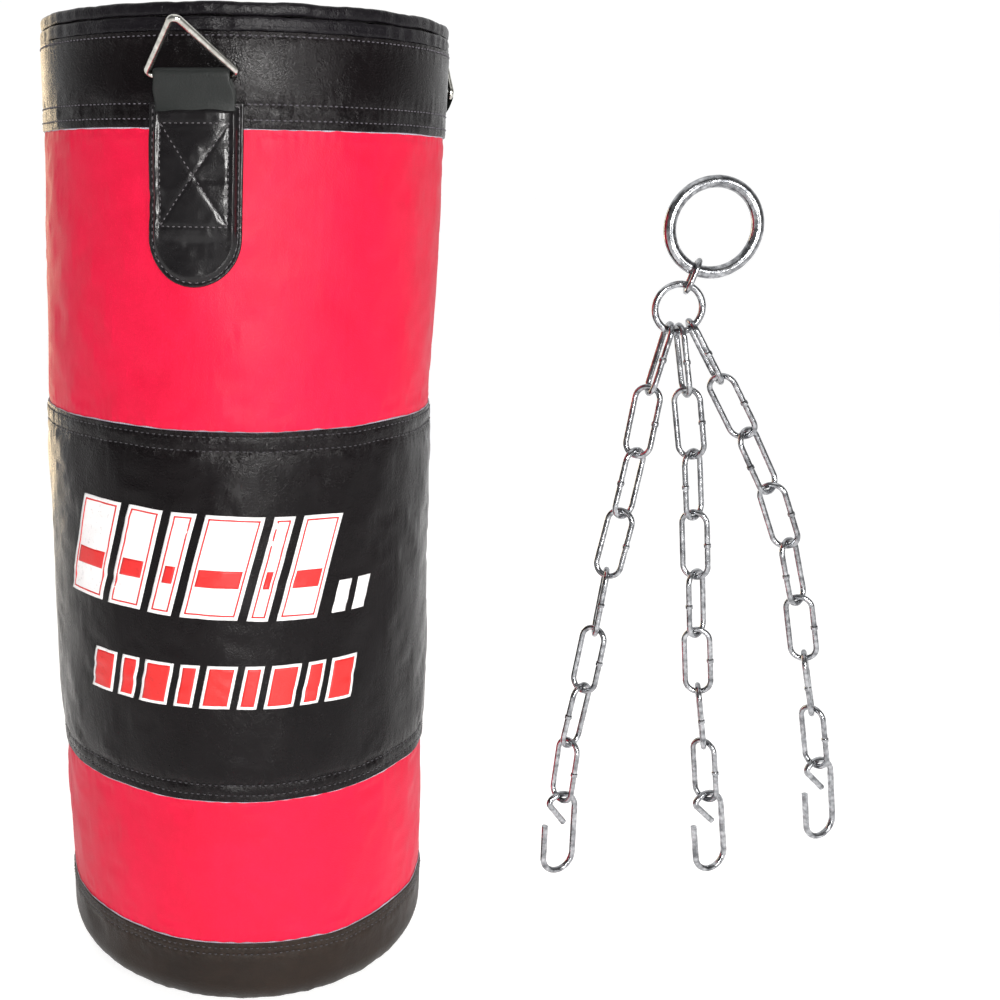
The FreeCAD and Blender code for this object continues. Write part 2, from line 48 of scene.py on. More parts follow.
MM = 0.001
SCENE = bpy.context.scene


def span(node, axis):
    lo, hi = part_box(node)
    return lo[axis] / MM, hi[axis] / MM


Z_BASE = span("shell_bottom_band", 2)[0]
Z_LOW = span("shell_bottom_band", 2)[1]
Z_MID = span("shell_middle_band", 2)[0]
Z_UP = span("shell_middle_band", 2)[1]
Z_TOP = span("shell_top_band", 2)[0]
Z_RIM = span("shell_top_band", 2)[1]
Z_SKIRT = span("lid_skirt", 2)[1]
Z_WELT = span("lid_welt", 2)[1]
R = (span("shell_middle_band", 0)[1] - span("shell_middle_band", 0)[0]) / 2
R_SKIRT = (span("lid_skirt", 0)[1] - span("lid_skirt", 0)[0]) / 2
R_WELT = (span("lid_welt", 0)[1] - span("lid_welt", 0)[0]) / 2
R_LID = (span("lid_panel", 0)[1] - span("lid_panel", 0)[0]) / 2
R_DISC = (span("base_disc", 0)[1] - span("base_disc", 0)[0]) / 2
ROUND = 25.0
TABS = {"front": -12.5, "right": 107.5, "rear": 227.5}
TAU = 2 * math.pi

# ------------------------------------------------------------------ camera, floor, light
CAM_AT = Vector((-0.0002, -0.9803, 0.628))
yaw, pitch, roll = 0.054, 0.256, 0.015
fwd = Vector((math.sin(yaw) * math.cos(pitch), math.cos(yaw) * math.cos(pitch), -math.sin(pitch)))
right = Vector((math.cos(yaw), -math.sin(yaw), 0.0))
up = right.cross(fwd)
right, up = (
    math.cos(roll) * right + math.sin(roll) * up,
    -math.sin(roll) * right + math.cos(roll) * up,
)
cam_data = bpy.data.cameras.new("camera")
cam_data.sensor_width = 36.0
cam_data.lens = 44.52
cam_data.shift_x = 0.19
cam_data.clip_start, cam_data.clip_end = 0.01, 60.0
cam = bpy.data.objects.new("camera", cam_data)
SCENE.collection.objects.link(cam)
turn = Matrix((right, up, -fwd)).transposed().to_4x4()
cam.matrix_world = Matrix.Translation(CAM_AT) @ turn
SCENE.camera = cam
SCENE.view_settings.view_transform = "Standard"


# ------------------------------------------------------------------------------ materials
class Nodes:
    """A material's nodes, made in order. Each call returns the node's output socket."""

    def __init__(self, name):
        self.mat = bpy.data.materials.new(name)
        self.mat.use_nodes = True
        self.t = self.mat.node_tree
        self.t.nodes.clear()
        self.out = self.t.nodes.new("ShaderNodeOutputMaterial")
        self.b = self.t.nodes.new("ShaderNodeBsdfPrincipled")
        self.t.links.new(self.b.outputs[0], self.out.inputs["Surface"])
        self.co = self.t.nodes.new("ShaderNodeTexCoord").outputs["Object"]

    def put(self, socket, value):
        if hasattr(value, "is_output"):
            self.t.links.new(value, socket)
        else:
            socket.default_value = value

    def set(self, **values):
        for k, v in values.items():
            self.put(self.b.inputs[k.replace("_", " ")], v)

    def noise(self, scale, detail=3.0, rough=0.5, distort=0.0, co=None):
        n = self.t.nodes.new("ShaderNodeTexNoise")
        self.put(n.inputs["Vector"], co or self.co)
        n.inputs["Scale"].default_value = scale
        n.inputs["Detail"].default_value = detail
        n.inputs["Roughness"].default_value = rough
        n.inputs["Distortion"].default_value = distort
        return n.outputs["Fac"]

    def voronoi(self, scale, feature="F1", co=None, jitter=1.0):
        n = self.t.nodes.new("ShaderNodeTexVoronoi")
        n.feature = feature
        self.put(n.inputs["Vector"], co or self.co)
        n.inputs["Scale"].default_value = scale
        n.inputs["Randomness"].default_value = jitter
        return n.outputs["Distance"]

    def wave(self, scale, axis="X", distort=0.0, co=None, profile="SIN"):
        n = self.t.nodes.new("ShaderNodeTexWave")
        n.bands_direction = axis
        n.wave_profile = profile
        self.put(n.inputs["Vector"], co or self.co)
        n.inputs["Scale"].default_value = scale
        n.inputs["Distortion"].default_value = distort
        return n.outputs["Fac"]

    def attr(self, name):
        n = self.t.nodes.new("ShaderNodeAttribute")
        n.attribute_name = name
        return n.outputs["Fac"]

    def scaled(self, x, y, z):
        n = self.t.nodes.new("ShaderNodeMapping")
        self.put(n.inputs["Vector"], self.co)
        n.inputs["Scale"].default_value = (x, y, z)
        return n.outputs["Vector"]

    def math(self, op, a, b=0.0):
        n = self.t.nodes.new("ShaderNodeMath")
        n.operation = op
        self.put(n.inputs[0], a)
        self.put(n.inputs[1], b)
        return n.outputs[0]

    def fit(self, value, lo, hi, to_lo=0.0, to_hi=1.0):
        n = self.t.nodes.new("ShaderNodeMapRange")
        self.put(n.inputs["Value"], value)
        for key, v in (("From Min", lo), ("From Max", hi), ("To Min", to_lo), ("To Max", to_hi)):
            n.inputs[key].default_value = v
        return n.outputs["Result"]

    def mix(self, fac, a, b):
        n = self.t.nodes.new("ShaderNodeMix")
        n.data_type = "RGBA"
        self.put(n.inputs["Factor"], fac)
        for key, v in ((6, a), (7, b)):
            self.put(n.inputs[key], v if hasattr(v, "is_output") else (*v, 1.0))
        return n.outputs[2]

    def bump(self, height, distance, strength=1.0, below=None):
        n = self.t.nodes.new("ShaderNodeBump")
        self.put(n.inputs["Height"], height)
        n.inputs["Distance"].default_value = distance
        self.put(n.inputs["Strength"], strength)
        if below is not None:
            self.put(n.inputs["Normal"], below)
        return n.outputs["Normal"]


def vinyl(name, dark, mid, rough, grain=1.0, crease=1.0, sheen=0.0, spec=0.5, coat=0.0, cell=760):
    """Coated fabric with an embossed grain, fine creases that gather at the seams, and lighter rubbed edges and specks
    that are partly wear and partly painted highlight.
    """
    m = Nodes(name)
    seam = m.attr("seam")
    wide = m.noise(7.0, 5.0, 0.55)
    close = m.noise(75.0, 4.0, 0.6, 0.4)
    tone = m.fit(m.math("ADD", m.math("MULTIPLY", wide, 0.7), m.math("MULTIPLY", close, 0.3)), 0.36, 0.64)
    colour = m.mix(tone, dark, mid)
    # The lighter colour mixed in at the seams and in fine specks is partly rubbed wear and partly painted highlight.
    worn_and_highlight = tuple(min(1.0, c * 1.55 + 0.008) for c in mid)
    rub_and_highlight = m.math("MULTIPLY", m.fit(seam, 0.55, 1.0), m.fit(m.noise(260.0, 3.0, 0.6), 0.45, 0.7))
    colour = m.mix(m.math("MULTIPLY", rub_and_highlight, 0.55), colour, worn_and_highlight)
    speck_and_glint = m.fit(m.noise(900.0, 2.0, 0.5), 0.60, 0.74)
    colour = m.mix(m.math("MULTIPLY", speck_and_glint, 0.16), colour, worn_and_highlight)
    m.set(Base_Color=colour)
    m.set(Roughness=m.math("ADD", m.fit(m.noise(38.0, 4.0, 0.6), 0.3, 0.7, rough[0], rough[1]),
                           m.math("MULTIPLY", speck_and_glint, 0.05)))
    m.b.inputs["Specular IOR Level"].default_value = spec
    if sheen:
        m.b.inputs["Sheen Weight"].default_value = sheen
        m.b.inputs["Sheen Roughness"].default_value = 0.4
    if coat:
        m.b.inputs["Coat Weight"].default_value = coat
        m.b.inputs["Coat Roughness"].default_value = 0.20
    fold = m.noise(150.0, 4.0, 0.58, 1.6)
    fold = m.math("ABSOLUTE", m.math("SUBTRACT", fold, 0.5))
    fold_by = m.math("ADD", 0.30 * crease, m.math("MULTIPLY", seam, 0.70 * crease))
    n1 = m.bump(fold, 0.0011, fold_by)
    n2 = m.bump(m.voronoi(float(cell)), 0.00016 * grain, 0.9, n1)
    n3 = m.bump(m.noise(2300.0, 2.0), 0.00004 * grain, 0.7, n2)
    m.set(Normal=n3)
    return m.mat


def cloth(name, dark, mid, pitch=1.2, rough=0.9, fuzz=0.3):
    """Woven textile: two crossed yarns, uneven colour, the hollows of the weave painted darker as painted shade, and a
    little fuzz.
    """
    m = Nodes(name)
    per = 0.159 / (pitch * MM)
    a = m.wave(per, "X", 0.3)
    b = m.wave(per, "Y", 0.3)
    c = m.wave(per, "Z", 0.3)
    weave = m.math("MULTIPLY", m.math("ADD", a, b), m.math("ADD", c, 0.4))
    # tone: random unevenness plus the weave, whose hollows come out darker: painted shade.
    tone = m.fit(m.math("ADD", m.noise(30.0, 4.0), m.math("MULTIPLY", weave, 0.25)), 0.5, 1.0)
    m.set(Base_Color=m.mix(tone, dark, mid), Roughness=m.fit(m.noise(120.0), 0.3, 0.7, rough - 0.08, rough))
    m.b.inputs["Sheen Weight"].default_value = fuzz
    n1 = m.bump(weave, 0.00025 * pitch, 0.8)
    m.set(Normal=m.bump(m.noise(900.0, 3.0), 0.0001, 0.6, n1))
    return m.mat


def foam(name, dark, mid):
    m = Nodes(name)
    cells = m.voronoi(520.0)
    m.set(Base_Color=m.mix(m.fit(m.noise(22.0, 4.0), 0.35, 0.65), dark, mid),
          Roughness=m.fit(cells, 0.0, 0.8, 0.85, 0.97))
    m.set(Normal=m.bump(m.noise(60.0, 3.0), 0.0015, 0.5, m.bump(cells, 0.0004, 0.8)))
    return m.mat


def metal(name, bright, dull, rough=(0.14, 0.34), scratch=1.0, spangle=260.0, dark=(0.16, 0.16, 0.17)):
    """Plated steel: uneven zinc spangle, faint draw marks and darker plating in spots."""
    m = Nodes(name)
    patch = m.voronoi(spangle, "F1")
    cloud = m.noise(120.0, 5.0, 0.62, 0.6)
    colour = m.mix(m.fit(m.math("ADD", m.math("MULTIPLY", patch, 0.5), cloud), 0.5, 1.0), bright, dull)
    spot = m.fit(m.noise(430.0, 4.0, 0.65, 0.3), 0.60, 0.72)
    colour = m.mix(m.math("MULTIPLY", spot, 0.45), colour, dark)
    m.set(Base_Color=colour)
    m.b.inputs["Metallic"].default_value = 1.0
    m.set(Roughness=m.math("ADD", m.fit(cloud, 0.32, 0.68, rough[0], rough[1]), m.math("MULTIPLY", spot, 0.18)))
    n1 = m.bump(m.noise(190.0, 3.0, 0.55, 0.8), 0.00035 * scratch, 0.5)
    n2 = m.bump(m.noise(1500.0, 2.0), 0.00005 * scratch, 0.6, n1)
    m.set(Normal=n2)
    return m.mat


def thread(name, colour):
    m = Nodes(name)
    twist = m.wave(420.0, "DIAGONAL", 0.4)
    # The twist's grooves are painted darker than its ridges: painted shade.
    m.set(Base_Color=m.mix(m.fit(twist, 0.2, 0.9), tuple(c * 0.5 for c in colour), colour))
    m.set(Roughness=m.fit(m.noise(300.0), 0.3, 0.7, 0.42, 0.6))
    m.set(Normal=m.bump(twist, 0.00012, 0.8))
    return m.mat


def ink(name, colour, rough=0.42):
    """Screen print on vinyl: slightly uneven film, fine cracks and pinholes."""
    m = Nodes(name)
    thin = m.fit(m.noise(320.0, 4.0, 0.6), 0.30, 0.42)
    faded = tuple(c * 0.80 for c in colour)
    m.set(Base_Color=m.mix(thin, faded, colour))
    m.set(Roughness=m.fit(m.noise(60.0, 3.0), 0.3, 0.7, rough - 0.06, rough + 0.1))
    fold = m.math("ABSOLUTE", m.math("SUBTRACT", m.noise(150.0, 4.0, 0.58, 1.6), 0.5))
    n1 = m.bump(fold, 0.0011, 0.28)
    m.set(Normal=m.bump(m.voronoi(760.0), 0.00009, 0.8, n1))
    return m.mat


BLACK = vinyl("black_vinyl", (0.0024, 0.0017, 0.0020), (0.0046, 0.0031, 0.0036), (0.19, 0.31), spec=0.15)
RIM = vinyl("rim_vinyl", (0.0034, 0.0027, 0.0038), (0.0065, 0.0054, 0.0072), (0.24, 0.38), crease=1.25, spec=0.18)
BASE = vinyl("base_vinyl", (0.0080, 0.0046, 0.0028), (0.0175, 0.0105, 0.0064), (0.40, 0.54), crease=0.8, spec=0.20)
RED = vinyl("red_vinyl", (0.56, 0.005, 0.032), (0.65, 0.008, 0.046), (0.42, 0.55), grain=0.75, crease=0.35, spec=0.16, cell=980)
TAB = vinyl("tab_vinyl", (0.0045, 0.0040, 0.0045), (0.0080, 0.0070, 0.0078), (0.24, 0.34), grain=0.6, crease=0.16, coat=0.30, spec=0.16, cell=900)
STRAP = vinyl("strap_vinyl", (0.0085, 0.0100, 0.0095), (0.0140, 0.0160, 0.0150), (0.40, 0.56), grain=1.0, crease=0.5, spec=0.3, cell=700)
BACKING = cloth("vinyl_backing", (0.30, 0.27, 0.33), (0.50, 0.46, 0.54), pitch=0.8, fuzz=0.2)
THREAD = thread("black_thread", (0.060, 0.056, 0.064))
TAB_THREAD = thread("tab_thread", (0.13, 0.12, 0.13))
RIM_THREAD = thread("rim_thread", (0.115, 0.105, 0.125))
WHITE_INK = ink("white_print", (0.82, 0.80, 0.80))
RED_INK = ink("red_print", (0.62, 0.012, 0.011))
FOAM = foam("foam_sheet", (0.34, 0.33, 0.30), (0.52, 0.50, 0.46))
RAGS = cloth("textile_fill", (0.10, 0.12, 0.16), (0.42, 0.36, 0.30), pitch=2.4, fuzz=0.6)
TAPE = cloth("zip_tape_weave", (0.006, 0.006, 0.007), (0.016, 0.015, 0.017), pitch=0.9, rough=0.8, fuzz=0.15)
TEETH = metal("zip_teeth_metal", (0.50, 0.47, 0.42), (0.30, 0.28, 0.25), (0.24, 0.42), spangle=420.0)
PULL = metal("zip_pull_metal", (0.55, 0.55, 0.56), (0.34, 0.34, 0.35), (0.20, 0.36), spangle=380.0)
ZINC = metal("zinc_plate", (0.54, 0.55, 0.57), (0.15, 0.155, 0.165), (0.10, 0.27), dark=(0.045, 0.045, 0.05))
RING = metal("polished_plate", (0.70, 0.69, 0.64), (0.42, 0.41, 0.37), (0.10, 0.24), scratch=0.7)


# ---------------------------------------------------------------------------- mesh helpers
def make(name, verts, faces, mats, face_mat=None, seam=None, smooth=True):
    """A mesh object from arrays in millimetres."""
    me = bpy.data.meshes.new(name)
    verts = np.asarray(verts, float) * MM
    verts[:, 2] = np.maximum(verts[:, 2], 0.0)
    me.from_pydata(verts.tolist(), [], [list(f) for f in faces])
    for m in mats:
        me.materials.append(m)
    if face_mat is not None:
        me.polygons.foreach_set("material_index", np.asarray(face_mat, np.int32))
    if smooth:
        me.polygons.foreach_set("use_smooth", np.ones(len(me.polygons), bool))
    # seam: how near a seam or cut edge; the vinyl materials crease more there and paint it lighter, partly rubbed wear
    # and partly painted highlight.
    a = me.attributes.new("seam", "FLOAT", "POINT")
    a.data.foreach_set("value", np.zeros(len(verts), np.float32) if seam is None else np.asarray(seam, np.float32))
    me.update()
    ob = bpy.data.objects.new(name, me)
    SCENE.collection.objects.link(ob)
    return ob


def wound(rows, cols, wrap_rows=True, wrap_cols=True, flip=False):
    """Quads over a grid of vertices, row by row."""
    i = np.arange(rows if wrap_rows else rows - 1)
    j = np.arange(cols if wrap_cols else cols - 1)
    i, j = np.meshgrid(i, j, indexing="ij")
    a = i * cols + j
    b = i * cols + (j + 1) % cols
    c = ((i + 1) % rows) * cols + (j + 1) % cols
    d = ((i + 1) % rows) * cols + j
    q = np.stack((a, b, c, d), -1).reshape(-1, 4)
    return q[:, ::-1] if flip else q


def volume(verts, faces):
    v = np.asarray(verts)
    total = 0.0
    for f in (np.array([q for q in faces if len(q) == 4]), np.array([q for q in faces if len(q) == 3])):
        if len(f) == 0:
            continue
        a, b, c = v[f[:, 0]], v[f[:, 1]], v[f[:, 2]]
        total += np.einsum("ij,ij->i", a, np.cross(b, c)).sum()
        if f.shape[1] == 4:
            total += np.einsum("ij,ij->i", a, np.cross(c, v[f[:, 3]])).sum()
    return total / 6


def outward(verts, faces):
    faces = [tuple(f) for f in faces]
    return faces if volume(verts, faces) > 0 else [f[::-1] for f in faces]


def slab(top, bottom):
    """A closed solid between two grids of the same shape: its vertices and faces."""
    rows, cols, _ = top.shape
    n = rows * cols
    verts = np.concatenate((top.reshape(-1, 3), bottom.reshape(-1, 3)))
    q = wound(rows, cols, False, False)
    idx = np.arange(n).reshape(rows, cols)
    loop = np.concatenate((idx[0, :-1], idx[:-1, -1], idx[-1, :0:-1], idx[:0:-1, 0]))
    nxt = np.roll(loop, -1)
    side = np.stack((loop, loop + n, nxt + n, nxt), -1)
    faces = np.concatenate((q, q[:, ::-1] + n, side))
    return verts, outward(verts, faces)


def joined(parts):
    """Several (verts, faces, material, seam) as one."""
    vs, fs, ms, ss, n = [], [], [], [], 0
    for v, f, m, s in parts:
        vs.append(np.asarray(v, float))
        fs += [tuple(int(k) + n for k in q) for q in f]
        ms += [m] * len(f)
        ss.append(np.full(len(v), s, float) if np.isscalar(s) else np.asarray(s, float).ravel())
        n += len(v)
    return np.concatenate(vs), fs, ms, np.concatenate(ss)


def spread_rows(lo, hi, step, marks=(), fine=0.7, reach=4.0):
    """Heights from lo to hi, close together near the marks."""
    z = [lo]
    while z[-1] < hi - 1e-6:
        near = min([abs(z[-1] - m) for m in marks] or [1e9])
        k = min(1.0, max(0.0, (near - reach) / 14.0))
        z.append(min(hi, z[-1] + fine + (step - fine) * k))
    z = np.array(z)
    if len(z) > 2 and z[-1] - z[-2] < fine * 0.5:
        z = np.delete(z, -2)
    return z


rng = np.random.default_rng(302)


def waves(orders, tilt, seed):
    """A smooth random field of the angle and height, periodic round the bag, about -1 to 1."""
    g = np.random.default_rng(seed)
    k = [(int(g.integers(orders[0], orders[1] + 1)), g.normal(0, tilt), g.uniform(0, TAU), g.uniform(0.5, 1)) for _ in range(14)]
    norm = math.sqrt(sum(c[3] ** 2 for c in k) / 2) * 1.9

    def field(phi, z):
        total = 0.0
        for m, q, p, a in k:
            total = total + a * np.sin(m * phi + q * z + p)
        return total / norm
    return field


wave_lump = waves((2, 9), 0.016, 11)
wave_soft = waves((10, 26), 0.06, 12)
wave_pucker = waves((60, 150), 0.10, 13)
wave_edge = waves((3, 16), 0.0, 14)
wave_fine_edge = waves((24, 90), 0.0, 15)
wave_rim = waves((8, 34), 0.0, 16)
wave_rim2 = waves((22, 80), 0.15, 17)


def ease(x, a, b):
    t = np.clip((np.asarray(x, float) - a) / (b - a), 0, 1)
    return t * t * (3 - 2 * t)


BOW = np.polyfit(np.array([0, 60, 140, 240, 350, 460, 560, 640, 690, 734]) / 734.0,
                 np.array([3.2, 2.6, 0.6, -2.0, -3.6, -3.4, -1.9, -0.6, 0.0, 0.2]), 6)


def bow(z):
    """How far the bag's centre line leans to one side at this height."""
    return np.polyval(BOW, np.clip(z, 0, 734) / 734.0)


# ------------------------------------------------------------------------ cloth simulation
def run_cloth(name, verts, faces, pins, pressure, frames=18, shrink=None, stiff=15.0, bend=0.5, mass=0.3):
    """Runs Blender's cloth on a mesh with gravity off and returns where its vertices end, in millimetres."""
    me = bpy.data.meshes.new(name)
    me.from_pydata((np.asarray(verts) * MM).tolist(), [], [list(map(int, f)) for f in faces])
    ob = bpy.data.objects.new(name, me)
    SCENE.collection.objects.link(ob)
    g = ob.vertex_groups.new(name="pin")
    for w in np.unique(np.round(pins, 2)):
        if w > 0:
            g.add(np.nonzero(np.abs(np.round(pins, 2) - w) < 1e-6)[0].tolist(), float(w), "REPLACE")
    m = ob.modifiers.new("Cloth", "CLOTH")
    s = m.settings
    s.quality = 5
    s.mass = mass
    s.tension_stiffness = s.compression_stiffness = stiff
    s.shear_stiffness = stiff / 3
    s.bending_stiffness = bend
    s.tension_damping = s.compression_damping = 15
    s.use_pressure = True
    s.uniform_pressure_force = pressure
    s.vertex_group_mass = "pin"
    s.effector_weights.gravity = 0
    if shrink is not None:
        h = ob.vertex_groups.new(name="shrink")
        q = np.round(shrink[0], 2)
        for w in np.unique(q):
            h.add(np.nonzero(np.abs(q - w) < 1e-6)[0].tolist(), float(w), "REPLACE")
        s.vertex_group_shrink = "shrink"
        s.shrink_min, s.shrink_max = shrink[1], shrink[2]
    m.collision_settings.use_collision = False
    m.collision_settings.use_self_collision = False
    m.point_cache.frame_start, m.point_cache.frame_end = 1, frames
    SCENE.frame_start, SCENE.frame_end = 1, frames
    for f in range(1, frames + 1):
        SCENE.frame_set(f)
    ev = ob.evaluated_get(bpy.context.evaluated_depsgraph_get())
    out = np.empty(len(me.vertices) * 3)
    ev.data.vertices.foreach_get("co", out)
    out = out.reshape(-1, 3) / MM
    bpy.data.objects.remove(ob)
    bpy.data.meshes.remove(me)
    SCENE.frame_set(1)
    return out


def soft_cap(d, cap):
    """Keeps a move under cap, smoothly."""
    return cap * np.tanh(d / cap)


# the whole skin between its seams, swollen by the filling
SKIN_N, SKIN_STEP = 156, 6.0
skin_z = np.arange(Z_BASE + ROUND, Z_RIM + 0.1, (Z_RIM - Z_BASE - ROUND) / round((Z_RIM - Z_BASE - ROUND) / SKIN_STEP))
skin_phi = np.arange(SKIN_N) / SKIN_N * TAU
pp, zz = np.meshgrid(skin_phi, skin_z)
start = R - 0.8 + 0.25 * wave_lump(pp, zz) + 0.12 * wave_soft(pp, zz)
v = np.stack((start * np.sin(pp), -start * np.cos(pp), zz), -1)
hold = np.zeros(pp.shape)
for zs in (Z_BASE + ROUND, Z_LOW, Z_MID, Z_UP, Z_TOP, Z_RIM):
    hold[np.abs(zz - zs) < SKIN_STEP * 0.55] = 1.0
slack = 0.5 + 0.5 * waves((5, 30), 0.05, 21)(pp, zz)
end = run_cloth("skin_cloth", v.reshape(-1, 3), wound(len(skin_z), SKIN_N, False, True), hold.ravel(),
                4.0, 16, (np.clip(slack, 0, 1).ravel(), -0.012, 0.006))
end = end.reshape(len(skin_z), SKIN_N, 3)
moved = np.hypot(end[..., 0], end[..., 1]) - (R - 0.8)
print("skin cloth moved", round(float(moved.min()), 2), round(float(moved.max()), 2), "mm")
moved = moved - np.median(moved)
SKIN_FIELD = soft_cap(moved, 1.3)


def skin_field(phi, z):
    """The simulated swelling at any angle and height."""
    phi, z = np.broadcast_arrays(np.asarray(phi, float), np.asarray(z, float))
    fi = (phi % TAU) / TAU * SKIN_N
    fj = np.clip((z - skin_z[0]) / (skin_z[-1] - skin_z[0]) * (len(skin_z) - 1), 0, len(skin_z) - 1.001)
    i0, j0 = np.floor(fi).astype(int), np.floor(fj).astype(int)
    a, b = fi - i0, fj - j0
    a, b = a * a * (3 - 2 * a), b * b * (3 - 2 * b)
    i0, i1 = i0 % SKIN_N, (i0 + 1) % SKIN_N
    F = SKIN_FIELD
    return (F[j0, i0] * (1 - a) + F[j0, i1] * a) * (1 - b) + (F[j0 + 1, i0] * (1 - a) + F[j0 + 1, i1] * a) * b


def lumps(phi, z):
    fade = ease(z, 6, 60) * (1 - ease(z, 655, 700))
    return (0.9 * wave_lump(phi, z) + 0.35 * wave_soft(phi, z) * 0.8 + skin_field(phi, z)) * fade


def place(phi, r0, z0, nr, nz, off):
    """A point off mm out from the skin's nominal line (r0, z0) with outward direction (nr, nz)."""
    calm = ease(z0, 20, 60) * (1 - ease(z0, 640, 680))
    warp = 0.7 * wave_edge(phi, z0) * calm
    rad = r0 + nr * off + lumps(phi, z0) * nr
    return np.stack(np.broadcast_arrays(bow(z0) + rad * np.sin(phi), -rad * np.cos(phi), z0 + nz * off + warp), -1)


def on_skin(phi, z, off):
    return place(np.asarray(phi, float), R, np.asarray(z, float), 1.0, 0.0, off)


# ------------------------------------------------------------------------------ the shell
COLS = 768
PHI = np.arange(COLS) / COLS * TAU

# stitch rows on each black band, as heights
ROWS_TOP = (Z_TOP + 5.5, Z_TOP + 15.0, Z_RIM - 2.6)
ROWS_MID = (Z_UP - 3.6, Z_UP - 13.4, Z_MID + 5.5, Z_MID + 13.5)
ROWS_LOW = (Z_LOW - 4.0, Z_LOW - 9.5)
BLACK_OFF, RED_OFF = 0.85, -0.55
LAPS = {"top": 178.0, "up": 181.5, "mid": 176.5, "low": 183.0, "bottom": 179.0}


def lap(phi, at, deep=0.85):
    """The overlap where a band's two ends are sewn together at the back."""
    d = (phi - math.radians(at)) * R
    return deep * ease(d, -0.5, 0.7) * (1 - ease(d, 10.5, 19.0)) - 0.35 * np.exp(-((d - 3.4) / 1.1) ** 2) - 0.35 * np.exp(-((d - 8.2) / 1.1) ** 2)


def black_off(phi, z, rows, at):
    """Height of a black band's outer face over the nominal skin, with its stitch grooves and puckers."""
    off = BLACK_OFF + lap(phi, at)
    near = np.zeros_like(phi + z)
    for zs in rows:
        d = (z - zs)
        off = off - 0.45 * np.exp(-(d / 1.5) ** 2)
        near = np.maximum(near, np.exp(-(d / 9.0) ** 2))
    off = off + 0.13 * near * wave_pucker(phi, z) + 0.13 * near * wave_soft(phi * 1.0, z * 2.2)
    if rows == ROWS_MID:
        under = 1 - np.exp(-np.maximum(Z_UP - 15.0 - z, 0.0) / 6.5)
        over = 1 - np.exp(-np.maximum(z - Z_MID - 15.0, 0.0) / 6.5)
        off = off + 1.25 * under * over
    return off, near


def red_off(phi, z, lo, hi, at):
    """A red panel's outer face: it tucks under the black bands at both ends."""
    near = np.maximum(np.exp(-((z - lo) / 8.0) ** 2), np.exp(-((z - hi) / 8.0) ** 2))
    off = RED_OFF + lap(phi, at, 0.8) + 0.18 * near * wave_pucker(phi, z * 1.3) - 0.10 * near
    swell = 0.55 * np.sin(np.clip((z - lo) / (hi - lo), 0, 1) * math.pi) ** 0.7
    return off + swell, near


def ring_solid(profile):
    """Vertices and faces of a closed ring from rows of (COLS, 3)."""
    rows = np.stack(profile)
    n = rows.shape[0]
    v = rows.reshape(-1, 3)
    return v, outward(v, wound(n, COLS, True, True))


def black_band(name, lo, hi, rows, at, open_low, open_high):
    """A black vinyl band with rounded cut edges, and the pale backing showing under them."""
    outer = spread_rows(lo + 0.6, hi - 0.6, 5.0, tuple(rows) + (lo, hi), 0.75, 3.0)
    prof, seam = [], []

    def add(z, off, s):
        prof.append(place(PHI, R, np.full(COLS, z), 1.0, 0.0, off))
        seam.append(np.broadcast_to(s, (COLS,)))

    e_lo = black_off(PHI, np.full(COLS, lo), rows, at)[0]
    e_hi = black_off(PHI, np.full(COLS, hi), rows, at)[0]
    for t in (80, 50, 22):
        t = math.radians(t)
        add(lo + 0.6 - 0.6 * math.sin(t), e_lo - 0.6 * (1 - math.cos(t)), 1.0)
    for z in outer:
        off, near = black_off(PHI, np.full(COLS, z), rows, at)
        add(z, off, near)
    for t in (22, 50, 80):
        t = math.radians(t)
        add(hi - 0.6 + 0.6 * math.sin(t), e_hi - 0.6 * (1 - math.cos(t)), 1.0)
    for z in np.linspace(hi, lo, 14):
        add(z, -0.32, 0.0)
    v, f = ring_solid(prof)
    parts = [(v, f, 0, np.concatenate(seam))]
    for edge, want, out in ((lo, open_low, -1), (hi, open_high, 1)):
        if not want:
            continue
        stick = 0.55 + 0.30 * wave_fine_edge(PHI, 0.0) + 0.25 * wave_edge(PHI, edge)
        stick = np.clip(stick, 0.05, 1.3)
        ring = []
        for dz, off in ((-6.0, -0.36), (-6.0, -0.28), (None, 0.12), (None, -0.40), (-3.0, -0.44)):
            z = edge + out * (dz if dz is not None else 0.0) + (out * stick if dz is None else 0.0)
            ring.append(place(PHI, R, np.broadcast_to(z, (COLS,)), 1.0, 0.0, off))
        bv, bf = ring_solid(ring)
        parts.append((bv, bf, 1, 0.3))
    v, f, m, s = joined(parts)
    return make(name, v, f, [BLACK, BACKING], m, s)


def red_panel(name, lo, hi, at):
    prof, seam = [], []
    for z in spread_rows(lo - 5.0, hi + 5.0, 5.0, (lo, hi), 1.0, 6.0):
        off, near = red_off(PHI, np.full(COLS, z), lo, hi, at)
        prof.append(place(PHI, R, np.full(COLS, z), 1.0, 0.0, off))
        seam.append(near * 0.8)
    for z in np.linspace(hi + 5.0, lo - 5.0, 12):
        prof.append(place(PHI, R, np.full(COLS, z), 1.0, 0.0, -1.9))
        seam.append(np.zeros(COLS))
    v, f = ring_solid(prof)
    return make(name, v, f, [RED], None, np.concatenate(seam))


